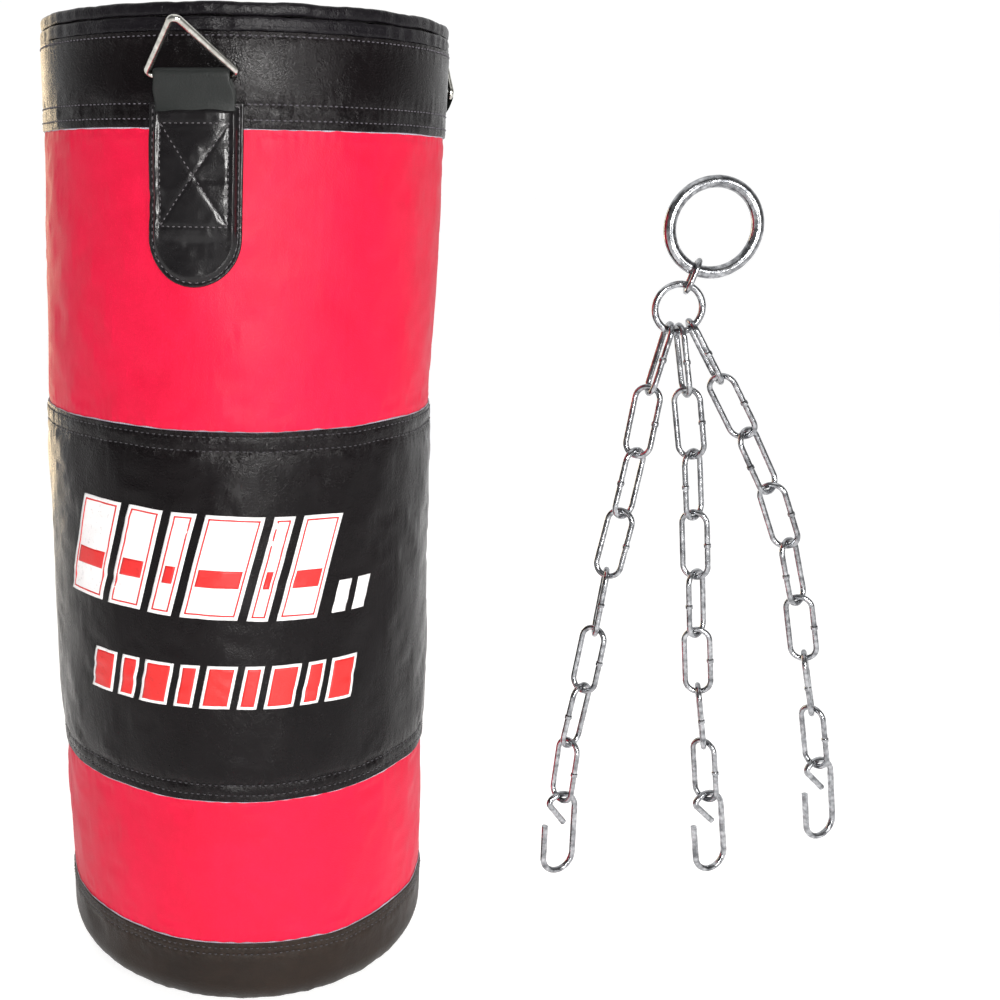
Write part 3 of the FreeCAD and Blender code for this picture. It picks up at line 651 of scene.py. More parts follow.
def bottom_band(name, rows, at):
    """The lowest band, drawn in round the edge of the base with small gathers."""
    prof, seam = [], []
    gather = waves((40, 95), 0.0, 31)
    deep = waves((18, 40), 0.0, 32)

    def add(r0, z0, nr, nz, off, s):
        prof.append(place(PHI, r0, np.full(COLS, z0), nr, nz, off))
        seam.append(np.broadcast_to(s, (COLS,)))

    hi = Z_LOW
    for z in np.linspace(Z_LOW, Z_BASE + ROUND, 6):
        add(R, z, 1.0, 0.0, -0.32, 0.0)
    for t in np.linspace(10, 88, 9):
        t = math.radians(t)
        add(R - ROUND + ROUND * math.cos(t), Z_BASE + ROUND - ROUND * math.sin(t), math.cos(t), -math.sin(t), -1.6, 0.0)
    for t in np.linspace(90, 2, 34):
        t = math.radians(t)
        k = math.cos(t)
        pull = (0.30 * gather(PHI, 0.0) + 0.45 * deep(PHI, 0.0)) * (math.sin(t) ** 2) * min(1.0, k * 3.0)
        off = (BLACK_OFF * min(1.0, k * 2.5)) + pull
        add(R - ROUND + ROUND * math.cos(t), Z_BASE + ROUND - ROUND * math.sin(t), math.cos(t), -math.sin(t), off, 0.25 + 0.5 * math.sin(t))
    for z in spread_rows(Z_BASE + ROUND, hi - 0.6, 4.0, tuple(rows) + (hi,), 0.75, 3.0):
        off, near = black_off(PHI, np.full(COLS, z), rows, at)
        add(R, z, 1.0, 0.0, off, near)
    e_hi = black_off(PHI, np.full(COLS, hi), rows, at)[0]
    for t in (22, 50, 80):
        t = math.radians(t)
        add(R, hi - 0.6 + 0.6 * math.sin(t), 1.0, 0.0, e_hi - 0.6 * (1 - math.cos(t)), 1.0)
    v, f = ring_solid(prof)
    parts = [(v, f, 0, np.concatenate(seam))]
    stick = np.clip(0.6 + 0.45 * wave_fine_edge(PHI, 3.0) + 0.35 * wave_edge(PHI, 9.0), 0.05, 1.7)
    ring = []
    for dz, off in ((-6.0, -0.36), (-6.0, -0.28), (None, 0.12), (None, -0.40), (-3.0, -0.44)):
        z = hi + (dz if dz is not None else stick)
        ring.append(place(PHI, R, np.broadcast_to(z, (COLS,)), 1.0, 0.0, off))
    bv, bf = ring_solid(ring)
    parts.append((bv, bf, 1, 0.3))
    v, f, m, s = joined(parts)
    return make(name, v, f, [BASE, BACKING], m, s)


def sew(path, nor, closed=False, pitch=4.4, fill=0.62, rad=0.42, lift=0.30, sink=0.55):
    """Stitches along a path: short arcs of thread that dive into the cloth at both ends."""
    path, nor = np.asarray(path, float), np.asarray(nor, float)
    if closed:
        path, nor = np.vstack((path, path[:1])), np.vstack((nor, nor[:1]))
    seg = np.linalg.norm(np.diff(path, axis=0), axis=1)
    s = np.concatenate(([0], np.cumsum(seg)))
    count = max(1, int(round(s[-1] / pitch)))
    step = s[-1] / count
    mid = (np.arange(count) + 0.5) * step
    t = np.array([-0.5, -0.30, 0.0, 0.30, 0.5])
    at = mid[:, None] + t[None, :] * step * fill
    P = np.stack([np.interp(at, s, path[:, k]) for k in range(3)], -1)
    Nn = np.stack([np.interp(at, s, nor[:, k]) for k in range(3)], -1)
    Nn /= np.linalg.norm(Nn, axis=-1, keepdims=True)
    T = np.gradient(P, axis=1)
    T /= np.linalg.norm(T, axis=-1, keepdims=True) + 1e-9
    side = np.cross(T, Nn)
    height = lift - (lift + sink) * (np.abs(t) * 2) ** 2.2
    P = P + Nn * height[None, :, None]
    ang = np.arange(6) / 6 * TAU
    rr = rad * np.array([0.62, 0.95, 1.0, 0.95, 0.62])
    V = P[:, :, None, :] + rr[None, :, None, None] * (
        np.cos(ang)[None, None, :, None] * Nn[:, :, None, :] + np.sin(ang)[None, None, :, None] * side[:, :, None, :])
    n = count
    V = V.reshape(-1, 3)
    base = np.arange(n)[:, None, None] * 30
    j = np.arange(4)[None, :, None] * 6
    k = np.arange(6)[None, None, :]
    a = base + j + k
    b = base + j + (k + 1) % 6
    q = np.stack((a, b, b + 6, a + 6), -1).reshape(-1, 4)
    faces = [tuple(x) for x in q]
    for m in range(n):
        o = m * 30
        faces.append(tuple(o + x for x in (5, 4, 3, 2, 1, 0)))
        faces.append(tuple(o + 24 + x for x in range(6)))
    if n and volume(V, [f for f in faces if len(f) == 4]) < 0:
        faces = [f[::-1] for f in faces]
    return V, faces


def ring_thread(z, off_of, pitch=4.6, **kw):
    """A stitch row round the bag at height z."""
    phi = np.arange(1200) / 1200 * TAU
    p = on_skin(phi, np.full(phi.shape, z), off_of(phi, np.full(phi.shape, z)))
    n = np.stack((np.sin(phi), -np.cos(phi), np.zeros_like(phi)), -1)
    return sew(p, n, True, pitch, **kw)


def seam_thread(z0, z1, at, off_of):
    """The two rows down the overlap at the back of a band."""
    parts = []
    for d in (3.4, 8.2):
        phi = math.radians(at) + d / R
        z = np.linspace(z0, z1, max(8, int((z1 - z0) / 2)))
        ph = np.full(z.shape, phi)
        p = on_skin(ph, z, off_of(ph, z))
        n = np.stack((np.sin(ph), -np.cos(ph), np.zeros_like(ph)), -1)
        parts.append(sew(p, n, False, 4.6))
    return parts


BAG = "bag"
shell = {}
shell["bottom"] = bottom_band("bottom_band_vinyl", ROWS_LOW, LAPS["bottom"])
shell["low"] = red_panel("lower_panel_vinyl", Z_LOW, Z_MID, LAPS["low"])
shell["mid"] = black_band("middle_band_vinyl", Z_MID, Z_UP, ROWS_MID, LAPS["mid"], True, True)
shell["up"] = red_panel("upper_panel_vinyl", Z_UP, Z_TOP, LAPS["up"])
shell["top"] = black_band("top_band_vinyl", Z_TOP, Z_RIM, ROWS_TOP, LAPS["top"], True, False)
for key, node, fill_slot in (("bottom", "shell_bottom_band", "base_vinyl"), ("low", "shell_lower_panel", "red_vinyl"),
                             ("mid", "shell_middle_band", "black_vinyl"), ("up", "shell_upper_panel", "red_vinyl"),
                             ("top", "shell_top_band", "black_vinyl")):
    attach(shell[key], BAG)
    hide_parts(node)

groups = {
    "bottom": (ROWS_LOW, LAPS["bottom"], (Z_BASE + ROUND, Z_LOW)),
    "mid": (ROWS_MID, LAPS["mid"], (Z_MID, Z_UP)),
    "top": (ROWS_TOP, LAPS["top"], (Z_TOP, Z_RIM)),
}
for key, (rows, at, zr) in groups.items():
    off_of = lambda p, z, rows=rows, at=at: black_off(p, z, rows, at)[0] + 0.05
    parts = [(*ring_thread(z, off_of, 3.9 if key == "top" else 4.6, fill=0.6, lift=0.36), 0, 0.0) for z in rows]
    parts += [(*q, 0, 0.0) for q in seam_thread(zr[0] + 1, zr[1] - 1, at, off_of)]
    v, f, m, s = joined(parts)
    ob = make("stitches_%s_band" % key, v, f, [RIM_THREAD if key == "top" else THREAD], m, s)
    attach(ob, BAG)
for key, lo, hi in (("low", Z_LOW, Z_MID), ("up", Z_UP, Z_TOP)):
    at = LAPS[key]
    off_of = lambda p, z, lo=lo, hi=hi, at=at: red_off(p, z, lo, hi, at)[0] + 0.05
    v, f, m, s = joined([(*q, 0, 0.0) for q in seam_thread(lo + 1, hi - 1, at, off_of)])
    ob = make("stitches_%s_panel" % ("lower" if key == "low" else "upper"), v, f, [THREAD], m, s)
    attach(ob, BAG)

# ------------------------------------------------------------------------------- the base
def disc_grid(n, rad):
    """A square grid bent into a disc of that radius."""
    t = np.linspace(-1, 1, n)
    u, v = np.meshgrid(t, t)
    return u * np.sqrt(1 - v * v / 2) * rad, v * np.sqrt(1 - u * u / 2) * rad


def smooth_noise(x, y, scale, seed=0.0):
    out = np.empty(np.shape(x))
    it = np.nditer(out, flags=["multi_index"], op_flags=["writeonly"])
    for o in it:
        i = it.multi_index
        o[...] = noise.noise(Vector((x[i] * scale, y[i] * scale, seed)))
    return out


bx, by = disc_grid(72, R_DISC)
brad = np.hypot(bx, by)
ang = np.arctan2(by, bx)
edge = ease(brad, 95, R_DISC)
low_z = Z_BASE + 0.25 + 0.45 * (1 - edge) * (0.5 + 0.5 * smooth_noise(bx, by, 0.03, 4.0)) + 0.25 * np.exp(-((brad - 110) / 1.3) ** 2)
top_z = np.full(bx.shape, Z_BASE + 1.9)
v, f = slab(np.stack((bx + bow(0), by, top_z), -1), np.stack((bx + bow(0), by, low_z), -1))
base = make("base_panel_vinyl", v, f, [BASE], None, np.concatenate((edge.ravel(), edge.ravel())) * 0.7)
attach(base, BAG)
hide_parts("base_disc")
a = np.arange(600) / 600 * TAU
ring_path = np.stack((110 * np.cos(a) + bow(0), 110 * np.sin(a), np.full(600, Z_BASE + 0.62)), -1)
v, f = sew(ring_path, np.tile((0, 0, -1.0), (600, 1)), True, 4.6, rad=0.36, lift=0.12, sink=0.45)
ob = make("stitches_base", v, f, [THREAD])
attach(ob, BAG)


# -------------------------------------------------------------------------- rim and lid
def rim_roll(name, r_in, r_out, z0, z1, seed, crease=None):
    """A rolled strip round the rim, a little uneven, with puckers where it was turned over."""
    w1, w2 = waves((7, 30), 0.0, seed), waves((26, 96), 0.0, seed + 1)
    n = 30
    prof, seam = [], []
    for k in range(n):
        t = k / n * TAU
        c, s = math.cos(t), math.sin(t)
        e = 0.72
        pr = math.copysign(abs(c) ** e, c)
        pz = math.copysign(abs(s) ** e, s)
        hr, hz = (r_out - r_in) / 2 - 0.25, (z1 - z0) / 2
        front = max(0.0, c)
        r = (r_in + r_out) / 2 + hr * pr + front * (0.42 * w1(PHI, 0) + 0.34 * w2(PHI, t)) - 0.50 * front
        z = (z0 + z1) / 2 + hz * pz * 0.97 + 0.35 * w1(PHI + 1.7, 0) * (0.4 + 0.6 * abs(s)) + 0.14 * w2(PHI + 0.6, 0) * abs(s)
        z = np.clip(z, z0 - 0.2, z1)
        if crease is not None:
            r = r - 0.75 * math.exp(-((pz - crease) / 0.16) ** 2) * front
        prof.append(np.stack((r * np.sin(PHI), -r * np.cos(PHI), z), -1))
        seam.append(np.full(COLS, 0.35 + 0.45 * abs(s)))
    v, f = ring_solid(prof)
    return make(name, v, f, [RIM], None, np.concatenate(seam))


skirt = rim_roll("lid_skirt_vinyl", R_SKIRT - 4.2, R_SKIRT, Z_RIM, Z_SKIRT, 41, crease=-0.12)
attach(skirt, BAG)
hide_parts("lid_skirt")
welt = rim_roll("lid_welt_vinyl", R_LID + 0.3, R_WELT, Z_SKIRT + 0.2, Z_WELT, 51)
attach(welt, BAG)
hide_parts("lid_welt")

PANEL_LOW, PANEL_TOP = span("lid_panel", 2)
TAPE_X, TAPE_Y = [(span("zip_tape", a)[1] - span("zip_tape", a)[0]) / 2 for a in (0, 1)]
NL = 72
lx, ly = disc_grid(NL, R_LID - 0.4)
lrad = np.hypot(lx, ly)
held = (lrad > R_LID - 5.5) | ((np.abs(ly) < TAPE_Y - 1) & (np.abs(lx) < TAPE_X - 1))
start = 0.5 * smooth_noise(lx, ly, 0.022, 7.0) * (~held)
end = run_cloth("lid_cloth", np.stack((lx, ly, start), -1).reshape(-1, 3), wound(NL, NL, False, False), held.ravel() * 1.0,
                5.0, 18, (np.full(NL * NL, 0.0), -0.02, 0.0))
lid_rise = end.reshape(NL, NL, 3)[..., 2]
print("lid cloth moved", round(float(lid_rise.min()), 2), round(float(lid_rise.max()), 2), "mm")
lid_rise = soft_cap(lid_rise, 3.4)
# Where the panel is pulled at the rim and along the zip it is a little crinkled, and the vinyl paints it lighter
# through the seam attribute: partly rubbed wear, partly painted highlight.
rub_and_highlight = np.exp(-((lrad - (R_LID - 6.5)) / 5.0) ** 2) + np.exp(-((np.abs(ly) - TAPE_Y) / 4.0) ** 2) * (np.abs(lx) < TAPE_X)
top = np.stack((lx, ly, PANEL_TOP - 0.05 + lid_rise + 0.10 * smooth_noise(lx, ly, 0.25, 2.0) * np.clip(rub_and_highlight, 0, 1)), -1)
v, f = slab(top, np.stack((lx, ly, np.full(lx.shape, PANEL_LOW)), -1))
lid = make("lid_panel_vinyl", v, f, [BLACK], None, np.concatenate((np.clip(rub_and_highlight, 0, 1).ravel(), np.zeros(NL * NL))))
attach(lid, BAG)
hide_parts("lid_panel")
parts = []
a = np.arange(900) / 900 * TAU
parts.append((*sew(np.stack(((R_LID - 3.4) * np.cos(a), (R_LID - 3.4) * np.sin(a), np.full(900, PANEL_TOP + 0.1)), -1),
                   np.tile((0, 0, 1.0), (900, 1)), True, 4.6, rad=0.4), 0, 0.0))

# the zip: two woven tapes, interlocked teeth, end stops
T0, T1 = span("zip_tape", 2)
nx, ny = 120, 22
tx, ty = np.meshgrid(np.linspace(-TAPE_X, TAPE_X, nx), np.linspace(-TAPE_Y, TAPE_Y, ny))
end_in = np.clip((np.abs(tx) - (TAPE_X - 4)) / 4, 0, 1)
ty2 = ty * (1 - 0.10 * end_in ** 2)
tape_z = T1 + 0.05 + 0.10 * np.sin(tx * 0.9) * (np.abs(ty) > TAPE_Y - 6) * 0.5 - 0.30 * np.exp(-(ty / 1.0) ** 2)
tape_z = tape_z + 0.22 * np.exp(-((np.abs(ty) - 3.9) / 0.8) ** 2) - 0.18 * np.exp(-((np.abs(ty) - (TAPE_Y - 3)) / 0.9) ** 2)
v, f = slab(np.stack((tx, ty2, tape_z), -1), np.stack((tx, ty2, np.full(tx.shape, T0 - 0.1)), -1))
tape = make("zip_tape_woven", v, f, [TAPE])
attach(tape, BAG)
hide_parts("zip_tape")
for side in (-1, 1):
    for inset in (3.0, 6.0):
        line = np.stack((np.linspace(-TAPE_X + 3, TAPE_X - 3, 200), np.full(200, side * (TAPE_Y - inset)), np.full(200, T1 + 0.0)), -1)
        parts.append((*sew(line, np.tile((0, 0, 1.0), (200, 1)), False, 3.6, rad=0.34), 0, 0.0))
for side in (-1, 1):
    line = np.stack((np.full(40, side * (TAPE_X - 3)), np.linspace(-TAPE_Y + 3, TAPE_Y - 3, 40), np.full(40, T1 + 0.0)), -1)
    parts.append((*sew(line, np.tile((0, 0, 1.0), (40, 1)), False, 3.6, rad=0.34), 0, 0.0))
v, f, m, s = joined(parts)
ob = make("stitches_lid", v, f, [THREAD], m, s)
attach(ob, BAG)

E0, E1 = span("zip_teeth", 2)
EX = (span("zip_teeth", 0)[1] - span("zip_teeth", 0)[0]) / 2
# one tooth: a clamped foot on the tape's cord, a waist, and a rounded head with a dimple
tooth_y = np.array([-2.95, -2.2, -1.1, -0.3, 0.35, 0.62])
tooth_w = np.array([0.62, 0.78, 0.46, 0.60, 0.52, 0.22])
tooth_h = np.array([0.62, 0.95, 0.72, 0.88, 0.80, 0.45])
tv, tf = [], []
for y, w, h in zip(tooth_y, tooth_w, tooth_h):
    for k in range(8):
        t = (k + 0.5) / 8 * TAU
        c, s_ = math.cos(t), math.sin(t)
        tv.append((math.copysign(abs(c) ** 0.6, c) * w, y, math.copysign(abs(s_) ** 0.6, s_) * h))
tv = np.array(tv)
for r in range(len(tooth_y) - 1):
    for k in range(8):
        tf.append((r * 8 + k, r * 8 + (k + 1) % 8, r * 8 + 8 + (k + 1) % 8, r * 8 + 8 + k))
tf.append(tuple(range(8)))
tf.append(tuple(reversed(range(40, 48))))
parts = []
pitch = 2.5
for k in range(int(2 * (EX - 2) / pitch)):
    for side in (-1, 1):
        x = -EX + 2 + k * pitch + (pitch / 2 if side > 0 else 0)
        if abs(x) > EX - 1.6:
            continue
        p = tv.copy()
        p[:, 1] *= side * -1.0
        p = p + np.array((x, 0, (E0 + E1) / 2))
        fs = tf if volume(p, [q for q in tf if len(q) == 4]) * 1 > 0 else [q[::-1] for q in tf]
        parts.append((p, fs, 0, 0.0))
for sx in (-1, 1):
    n = 12
    top = np.array([[(sx * (EX - 1.0) + 1.0 * math.cos(a), 3.0 * math.sin(a), E1 - 0.1 - 0.4 * (q > 1)) for a in np.arange(n) / n * TAU] for q in (0, 1)])
    loops = []
    for rr, zz_ in ((0.86, E0 + 0.05), (1.0, E0 + 0.4), (1.0, E1 - 0.5), (0.8, E1 - 0.1), (0.35, E1 - 0.02)):
        loops.append([(sx * (EX - 1.3) + 1.3 * rr * math.cos(a), 3.0 * rr * math.sin(a), zz_) for a in np.arange(n) / n * TAU])
    pv = np.array(loops).reshape(-1, 3)
    pf = [tuple(q) for q in wound(5, n, False, True)] + [tuple(reversed(range(n))), tuple(range(4 * n, 5 * n))]
    parts.append((pv, pf, 0, 0.0))
v, f, m, s = joined(parts)
teeth = make("zip_teeth_rows", v, f, [TEETH], m, s)
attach(teeth, BAG)
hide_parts("zip_teeth")


# ------------------------------------------------------------------------------- the tabs
P_LOW, P_TOP = span("tab_patch_front", 2)
P_HALF = 32.5
P_CEN = P_LOW + P_HALF
BOX_HALF, BOX_LOW, BOX_TOP = 22.8, 595.0, 660.0
TOP_ROW = P_TOP - 2.6


def inside(u, w):
    """Distance in from the patch's outline."""
    d = np.where(w >= P_CEN, P_HALF - np.abs(u), P_HALF - np.hypot(u, w - P_CEN))
    return np.minimum(d, P_TOP - w)


def seg_dist(u, w, a, b):
    ax, ay = a
    bx_, by_ = b
    t = np.clip(((u - ax) * (bx_ - ax) + (w - ay) * (by_ - ay)) / ((bx_ - ax) ** 2 + (by_ - ay) ** 2), 0, 1)
    return np.hypot(u - ax - t * (bx_ - ax), w - ay - t * (by_ - ay))


BOX = [(-BOX_HALF, BOX_LOW), (BOX_HALF, BOX_LOW), (BOX_HALF, BOX_TOP), (-BOX_HALF, BOX_TOP)]
LINES = [(BOX[k], BOX[(k + 1) % 4]) for k in range(4)] + [(BOX[0], BOX[2]), (BOX[1], BOX[3])]


def sewn(u, w):
    """Distance to the nearest stitched line inside the patch."""
    d = np.full(np.shape(u), 1e9)
    for a_, b_ in LINES:
        d = np.minimum(d, seg_dist(u, w, a_, b_))
    return d


def floor_height(u, w):
    """The patch's face before it is padded: it climbs from its edge onto the strap under it."""
    d = inside(u, w)
    climb = ease(d, 2.4, 7.0)
    over = ease(w, 584, 597)
    h = 1.7 + climb * (1.1 + 1.7 * over)
    return h


def patch_grid(half_cols, low_rows, high_rows):
    s = np.linspace(-1, 1, half_cols)
    s = np.sign(s) * (1 - (1 - np.abs(s)) ** 1.12)
    lv = -1 + np.linspace(0, 1, low_rows, endpoint=False) ** 1.0
    U, W = [], []
    for v_ in lv:
        U.append(P_HALF * s * math.sqrt(1 - v_ * v_ / 2))
        W.append(P_CEN + P_HALF * v_ * np.sqrt(1 - s * s / 2))
    for w in np.linspace(P_CEN, P_TOP, high_rows):
        U.append(P_HALF * s)
        W.append(np.full(s.shape, w))
    return np.array(U), np.array(W)


# the padding between the sewn lines, by cloth with the lines held down
su, sw = patch_grid(45, 20, 46)
pin = (inside(su, sw) < 3.6) | (sewn(su, sw) < 0.95)
z0 = floor_height(su, sw) * 0.4
end = run_cloth("patch_cloth", np.stack((su, sw - P_CEN, z0), -1).reshape(-1, 3), wound(*su.shape, False, False), pin.ravel() * 1.0,
                7.0, 18, (np.full(su.size, 0.0), -0.10, 0.0), stiff=8.0, bend=0.2)
PUFF = end.reshape(*su.shape, 3)[..., 2] - z0
print("patch cloth moved", round(float(PUFF.min()), 2), round(float(PUFF.max()), 2), "mm")
PUFF = soft_cap(np.maximum(PUFF, 0), 2.0)

pu, pw = patch_grid(133, 58, 136)


def puff_at(rows, cols):
    """The simulated padding resampled on a finer grid of the same kind."""
    n0, n1 = PUFF.shape
    low = np.linspace(0, 20, 58, endpoint=False)
    high = 20 + np.linspace(0, 45, 136)
    fj = np.clip(np.concatenate((low, high)), 0, n0 - 1.001)
    fi = np.clip(np.linspace(0, n1 - 1, cols), 0, n1 - 1.001)
    j0, i0 = np.floor(fj).astype(int), np.floor(fi).astype(int)
    b, a_ = (fj - j0)[:, None], (fi - i0)[None, :]
    return (PUFF[np.ix_(j0, i0)] * (1 - a_) + PUFF[np.ix_(j0, i0 + 1)] * a_) * (1 - b) + (
        PUFF[np.ix_(j0 + 1, i0)] * (1 - a_) + PUFF[np.ix_(j0 + 1, i0 + 1)] * a_) * b


fine_puff = puff_at(*pu.shape)


def face_height(u, w):
    """The fixed part of the patch's height: edge rounding and stitch grooves."""
    d = inside(u, w)
    h = floor_height(u, w)
    h = h - 0.55 * np.exp(-((d - 3.0) / 0.85) ** 2) - 0.32 * np.exp(-(sewn(u, w) / 1.5) ** 2)
    h = h + 1.15 * np.exp(-((np.abs(u) - 26.3) / 2.1) ** 2) * ease(w, 578, 592) * ease(P_TOP - w, 4, 9)
    roundoff = np.clip(d / 1.1, 0, 1)
    return h - 1.1 * (1 - np.sqrt(np.clip(1 - (1 - roundoff) ** 2, 0, 1)))


def smear(a, times):
    for _ in range(times):
        b = np.pad(a, 1, mode="edge")
        a = (b[:-2, 1:-1] + b[2:, 1:-1] + b[1:-1, :-2] + b[1:-1, 2:] + 4 * b[1:-1, 1:-1]) / 8
    return a


fine_puff = smear(fine_puff, 14)
in_box = ease(BOX_HALF - np.abs(pu), -0.5, 1.5) * ease(pw - BOX_LOW, -0.5, 1.5) * ease(BOX_TOP - pw, -0.5, 1.5)
fine_puff = fine_puff * (1 - 0.55 * in_box) * 0.5
BAR_R, BAR_Z = 157.2, 689.0


def tab_at(angle, u, w, off):
    """A point of a tab: u along the bag, w up, off out from the skin."""
    phi = math.radians(angle) + np.asarray(u, float) / (R + 4.0)
    return on_skin(phi, w, off)


def tab_normal(angle, u):
    phi = math.radians(angle) + np.asarray(u, float) / (R + 4.0)
    return np.stack((np.sin(phi), -np.cos(phi), np.zeros_like(phi)), -1)


def line_on(angle, pts, step=1.0):
    """A path along straight runs on the patch, with its height and normals."""
    us, ws = [], []
    for (a0, b0), (a1, b1) in zip(pts[:-1], pts[1:]):
        n = max(2, int(math.hypot(a1 - a0, b1 - b0) / step))
        t = np.linspace(0, 1, n, endpoint=False)
        us.append(a0 + (a1 - a0) * t)
        ws.append(b0 + (b1 - b0) * t)
    us.append([pts[-1][0]])
    ws.append([pts[-1][1]])
    us, ws = np.concatenate(us), np.concatenate(ws)
    return tab_at(angle, us, ws, face_height(us, ws) + 0.02), tab_normal(angle, us)


def edge_line(inset):
    h = P_HALF - inset
    pts = [(-h, P_TOP - 3.2)]
    for t in np.linspace(180, 360, 41):
        pts.append((h * math.cos(math.radians(t)), P_CEN + h * math.sin(math.radians(t))))
    pts.append((h, P_TOP - 3.2))
    return pts


for key, angle in TABS.items():
    h = face_height(pu, pw) + fine_puff + 0.05 * smooth_noise(pu, pw, 0.11, angle)
    top = tab_at(angle, pu, pw, h)
    low = tab_at(angle, pu, pw, np.minimum(h - 0.5, 1.05 + (h - 2.6) * 0.55 * (h > 2.6)))
    v, f = slab(top, low)
    # Near the patch's edge and its stitched lines the vinyl is painted lighter through the seam attribute: partly
    # rubbed wear, partly painted highlight.
    rub_and_highlight = np.clip(np.exp(-((inside(pu, pw) - 1.5) / 2.0) ** 2) + 0.8 * np.exp(-(sewn(pu, pw) / 1.8) ** 2), 0, 1)
    patch = make("tab_patch_%s_vinyl" % key, v, f, [TAB], None, np.concatenate((rub_and_highlight.ravel(), np.zeros(rub_and_highlight.size))))
    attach(patch, BAG)
    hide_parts("tab_patch_%s" % key)
    parts = []
    for pts, closed, pit in ((edge_line(3.0), False, 4.6), ([(-P_HALF + 3.0, TOP_ROW), (P_HALF - 3.0, TOP_ROW)], False, 4.2),
                             (BOX + BOX[:1], False, 3.9), ([BOX[0], BOX[2]], False, 3.9), ([BOX[1], BOX[3]], False, 3.9)):
        p, n = line_on(angle, pts)
        parts.append((*sew(p, n, closed, pit, fill=0.6, rad=0.40, lift=0.40), 0, 0.0))
    v, f, m, s = joined(parts)
    ob = make("stitches_tab_%s" % key, v, f, [TAB_THREAD], m, s)
    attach(ob, BAG)

    # the strap: two layers up from under the patch, folded round the ring's bar
    n_dir = np.array((math.sin(math.radians(angle)), -math.cos(math.radians(angle)), 0.0))
    t_dir = np.array((math.cos(math.radians(angle)), math.sin(math.radians(angle)), 0.0))
    path = [(R + 1.15, 596.0), (R + 1.15, 640.0), (R + 1.15, 668.0), (R + 1.2, 676.0), (R + 1.8, 681.5)]
    for t in np.linspace(208, -22, 25):
        path.append((BAR_R + 3.72 * math.cos(math.radians(t)), BAR_Z + 3.72 * math.sin(math.radians(t))))
    path += [(R + 8.7, 682.5), (R + 6.3, 677.5), (R + 4.2, 672.5), (R + 3.05, 667.0), (R + 2.75, 655.0), (R + 2.75, 625.0), (R + 2.75, 596.0)]
    path = np.array(path)
    seg = np.concatenate(([0], np.cumsum(np.hypot(*np.diff(path, axis=0).T))))
    at = np.concatenate([np.linspace(seg[k], seg[k + 1], max(2, int((seg[k + 1] - seg[k]) / 1.6) + 1), endpoint=False) for k in range(len(seg) - 1)] + [[seg[-1]]])
    pr, pz = np.interp(at, seg, path[:, 0]), np.interp(at, seg, path[:, 1])
    for _ in range(3):
        pr[1:-1] = (pr[:-2] + 2 * pr[1:-1] + pr[2:]) / 4
        pz[1:-1] = (pz[:-2] + 2 * pz[1:-1] + pz[2:]) / 4
    dr, dz = np.gradient(pr), np.gradient(pz)
    ln = np.hypot(dr, dz)
    nr_, nz_ = -dz / ln, dr / ln          # towards the loop's outside
    cw = np.linspace(-1, 1, 41)
    half_w = 26.6 - 1.5 * ease(pz, 679, 686)
    tw = cw[None, :] * half_w[:, None]
    flat = ease(pz, 672, 686)[:, None]
    sag = (R - np.sqrt(R * R - tw ** 2)) * (1 - flat)
    crown = 0.12 * (1 - 0.8 * flat) * smooth_noise(tw, np.broadcast_to(at[:, None], tw.shape), 0.10, 5 + angle)
    faces2 = []
    for side in (1, -1):
        thick = 0.72 * np.sqrt(np.clip(1 - np.abs(cw) ** 14, 0, 1))[None, :] * np.ones_like(tw)
        rr = pr[:, None] - sag + side * nr_[:, None] * thick + crown * nr_[:, None]
        zz_ = pz[:, None] + side * nz_[:, None] * thick + crown * nz_[:, None]
        faces2.append(rr[..., None] * n_dir + tw[..., None] * t_dir + zz_[..., None] * np.array((0, 0, 1.0)))
    v, f = slab(faces2[0], faces2[1])
    e = np.clip(np.abs(cw) ** 8, 0, 1)[None, :] * np.ones_like(tw)
    strap = make("strap_loop_%s_vinyl" % key, v, f, [STRAP], None, np.concatenate((e.ravel(), e.ravel())))
    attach(strap, BAG)
    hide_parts("strap_loop_%s" % key)

# --------------------------------------------------------------------- printed decoration
def film(corners, off0, off1, slant=0.0):
    """A printed quadrilateral on the middle band, given by its corners (angle in degrees, height)."""
    c = np.array(corners, float)
    w = max(abs(c[1, 0] - c[0, 0]), abs(c[2, 0] - c[3, 0])) * math.pi / 180 * R
    h = max(abs(c[3, 1] - c[0, 1]), abs(c[2, 1] - c[1, 1]))
    nu, nv = max(2, int(w / 1.6) + 1), max(2, int(h / 1.6) + 1)
    s, t = np.meshgrid(np.linspace(0, 1, nu), np.linspace(0, 1, nv))
    s, t = s[..., None], t[..., None]
    p = (c[0] * (1 - s) + c[1] * s) * (1 - t) + (c[3] * (1 - s) + c[2] * s) * t
    phi, z = np.radians(p[..., 0]), p[..., 1]
    base_off = black_off(phi, z, ROWS_MID, LAPS["mid"])[0]
    return slab(on_skin(phi, z, base_off + off1), on_skin(phi, z, base_off + off0))


def bar(x0, x1, z0, z1, lean, rise=0.0):
    """A leaning bar's corners, from arc positions in millimetres."""
    d = 180 / math.pi / R
    return [((x0) * d, z0 + rise * x0), ((x1) * d, z0 + rise * x1),
            ((x1 + lean) * d, z1 + rise * (x1 + lean)), ((x0 + lean) * d, z1 + rise * (x0 + lean))]


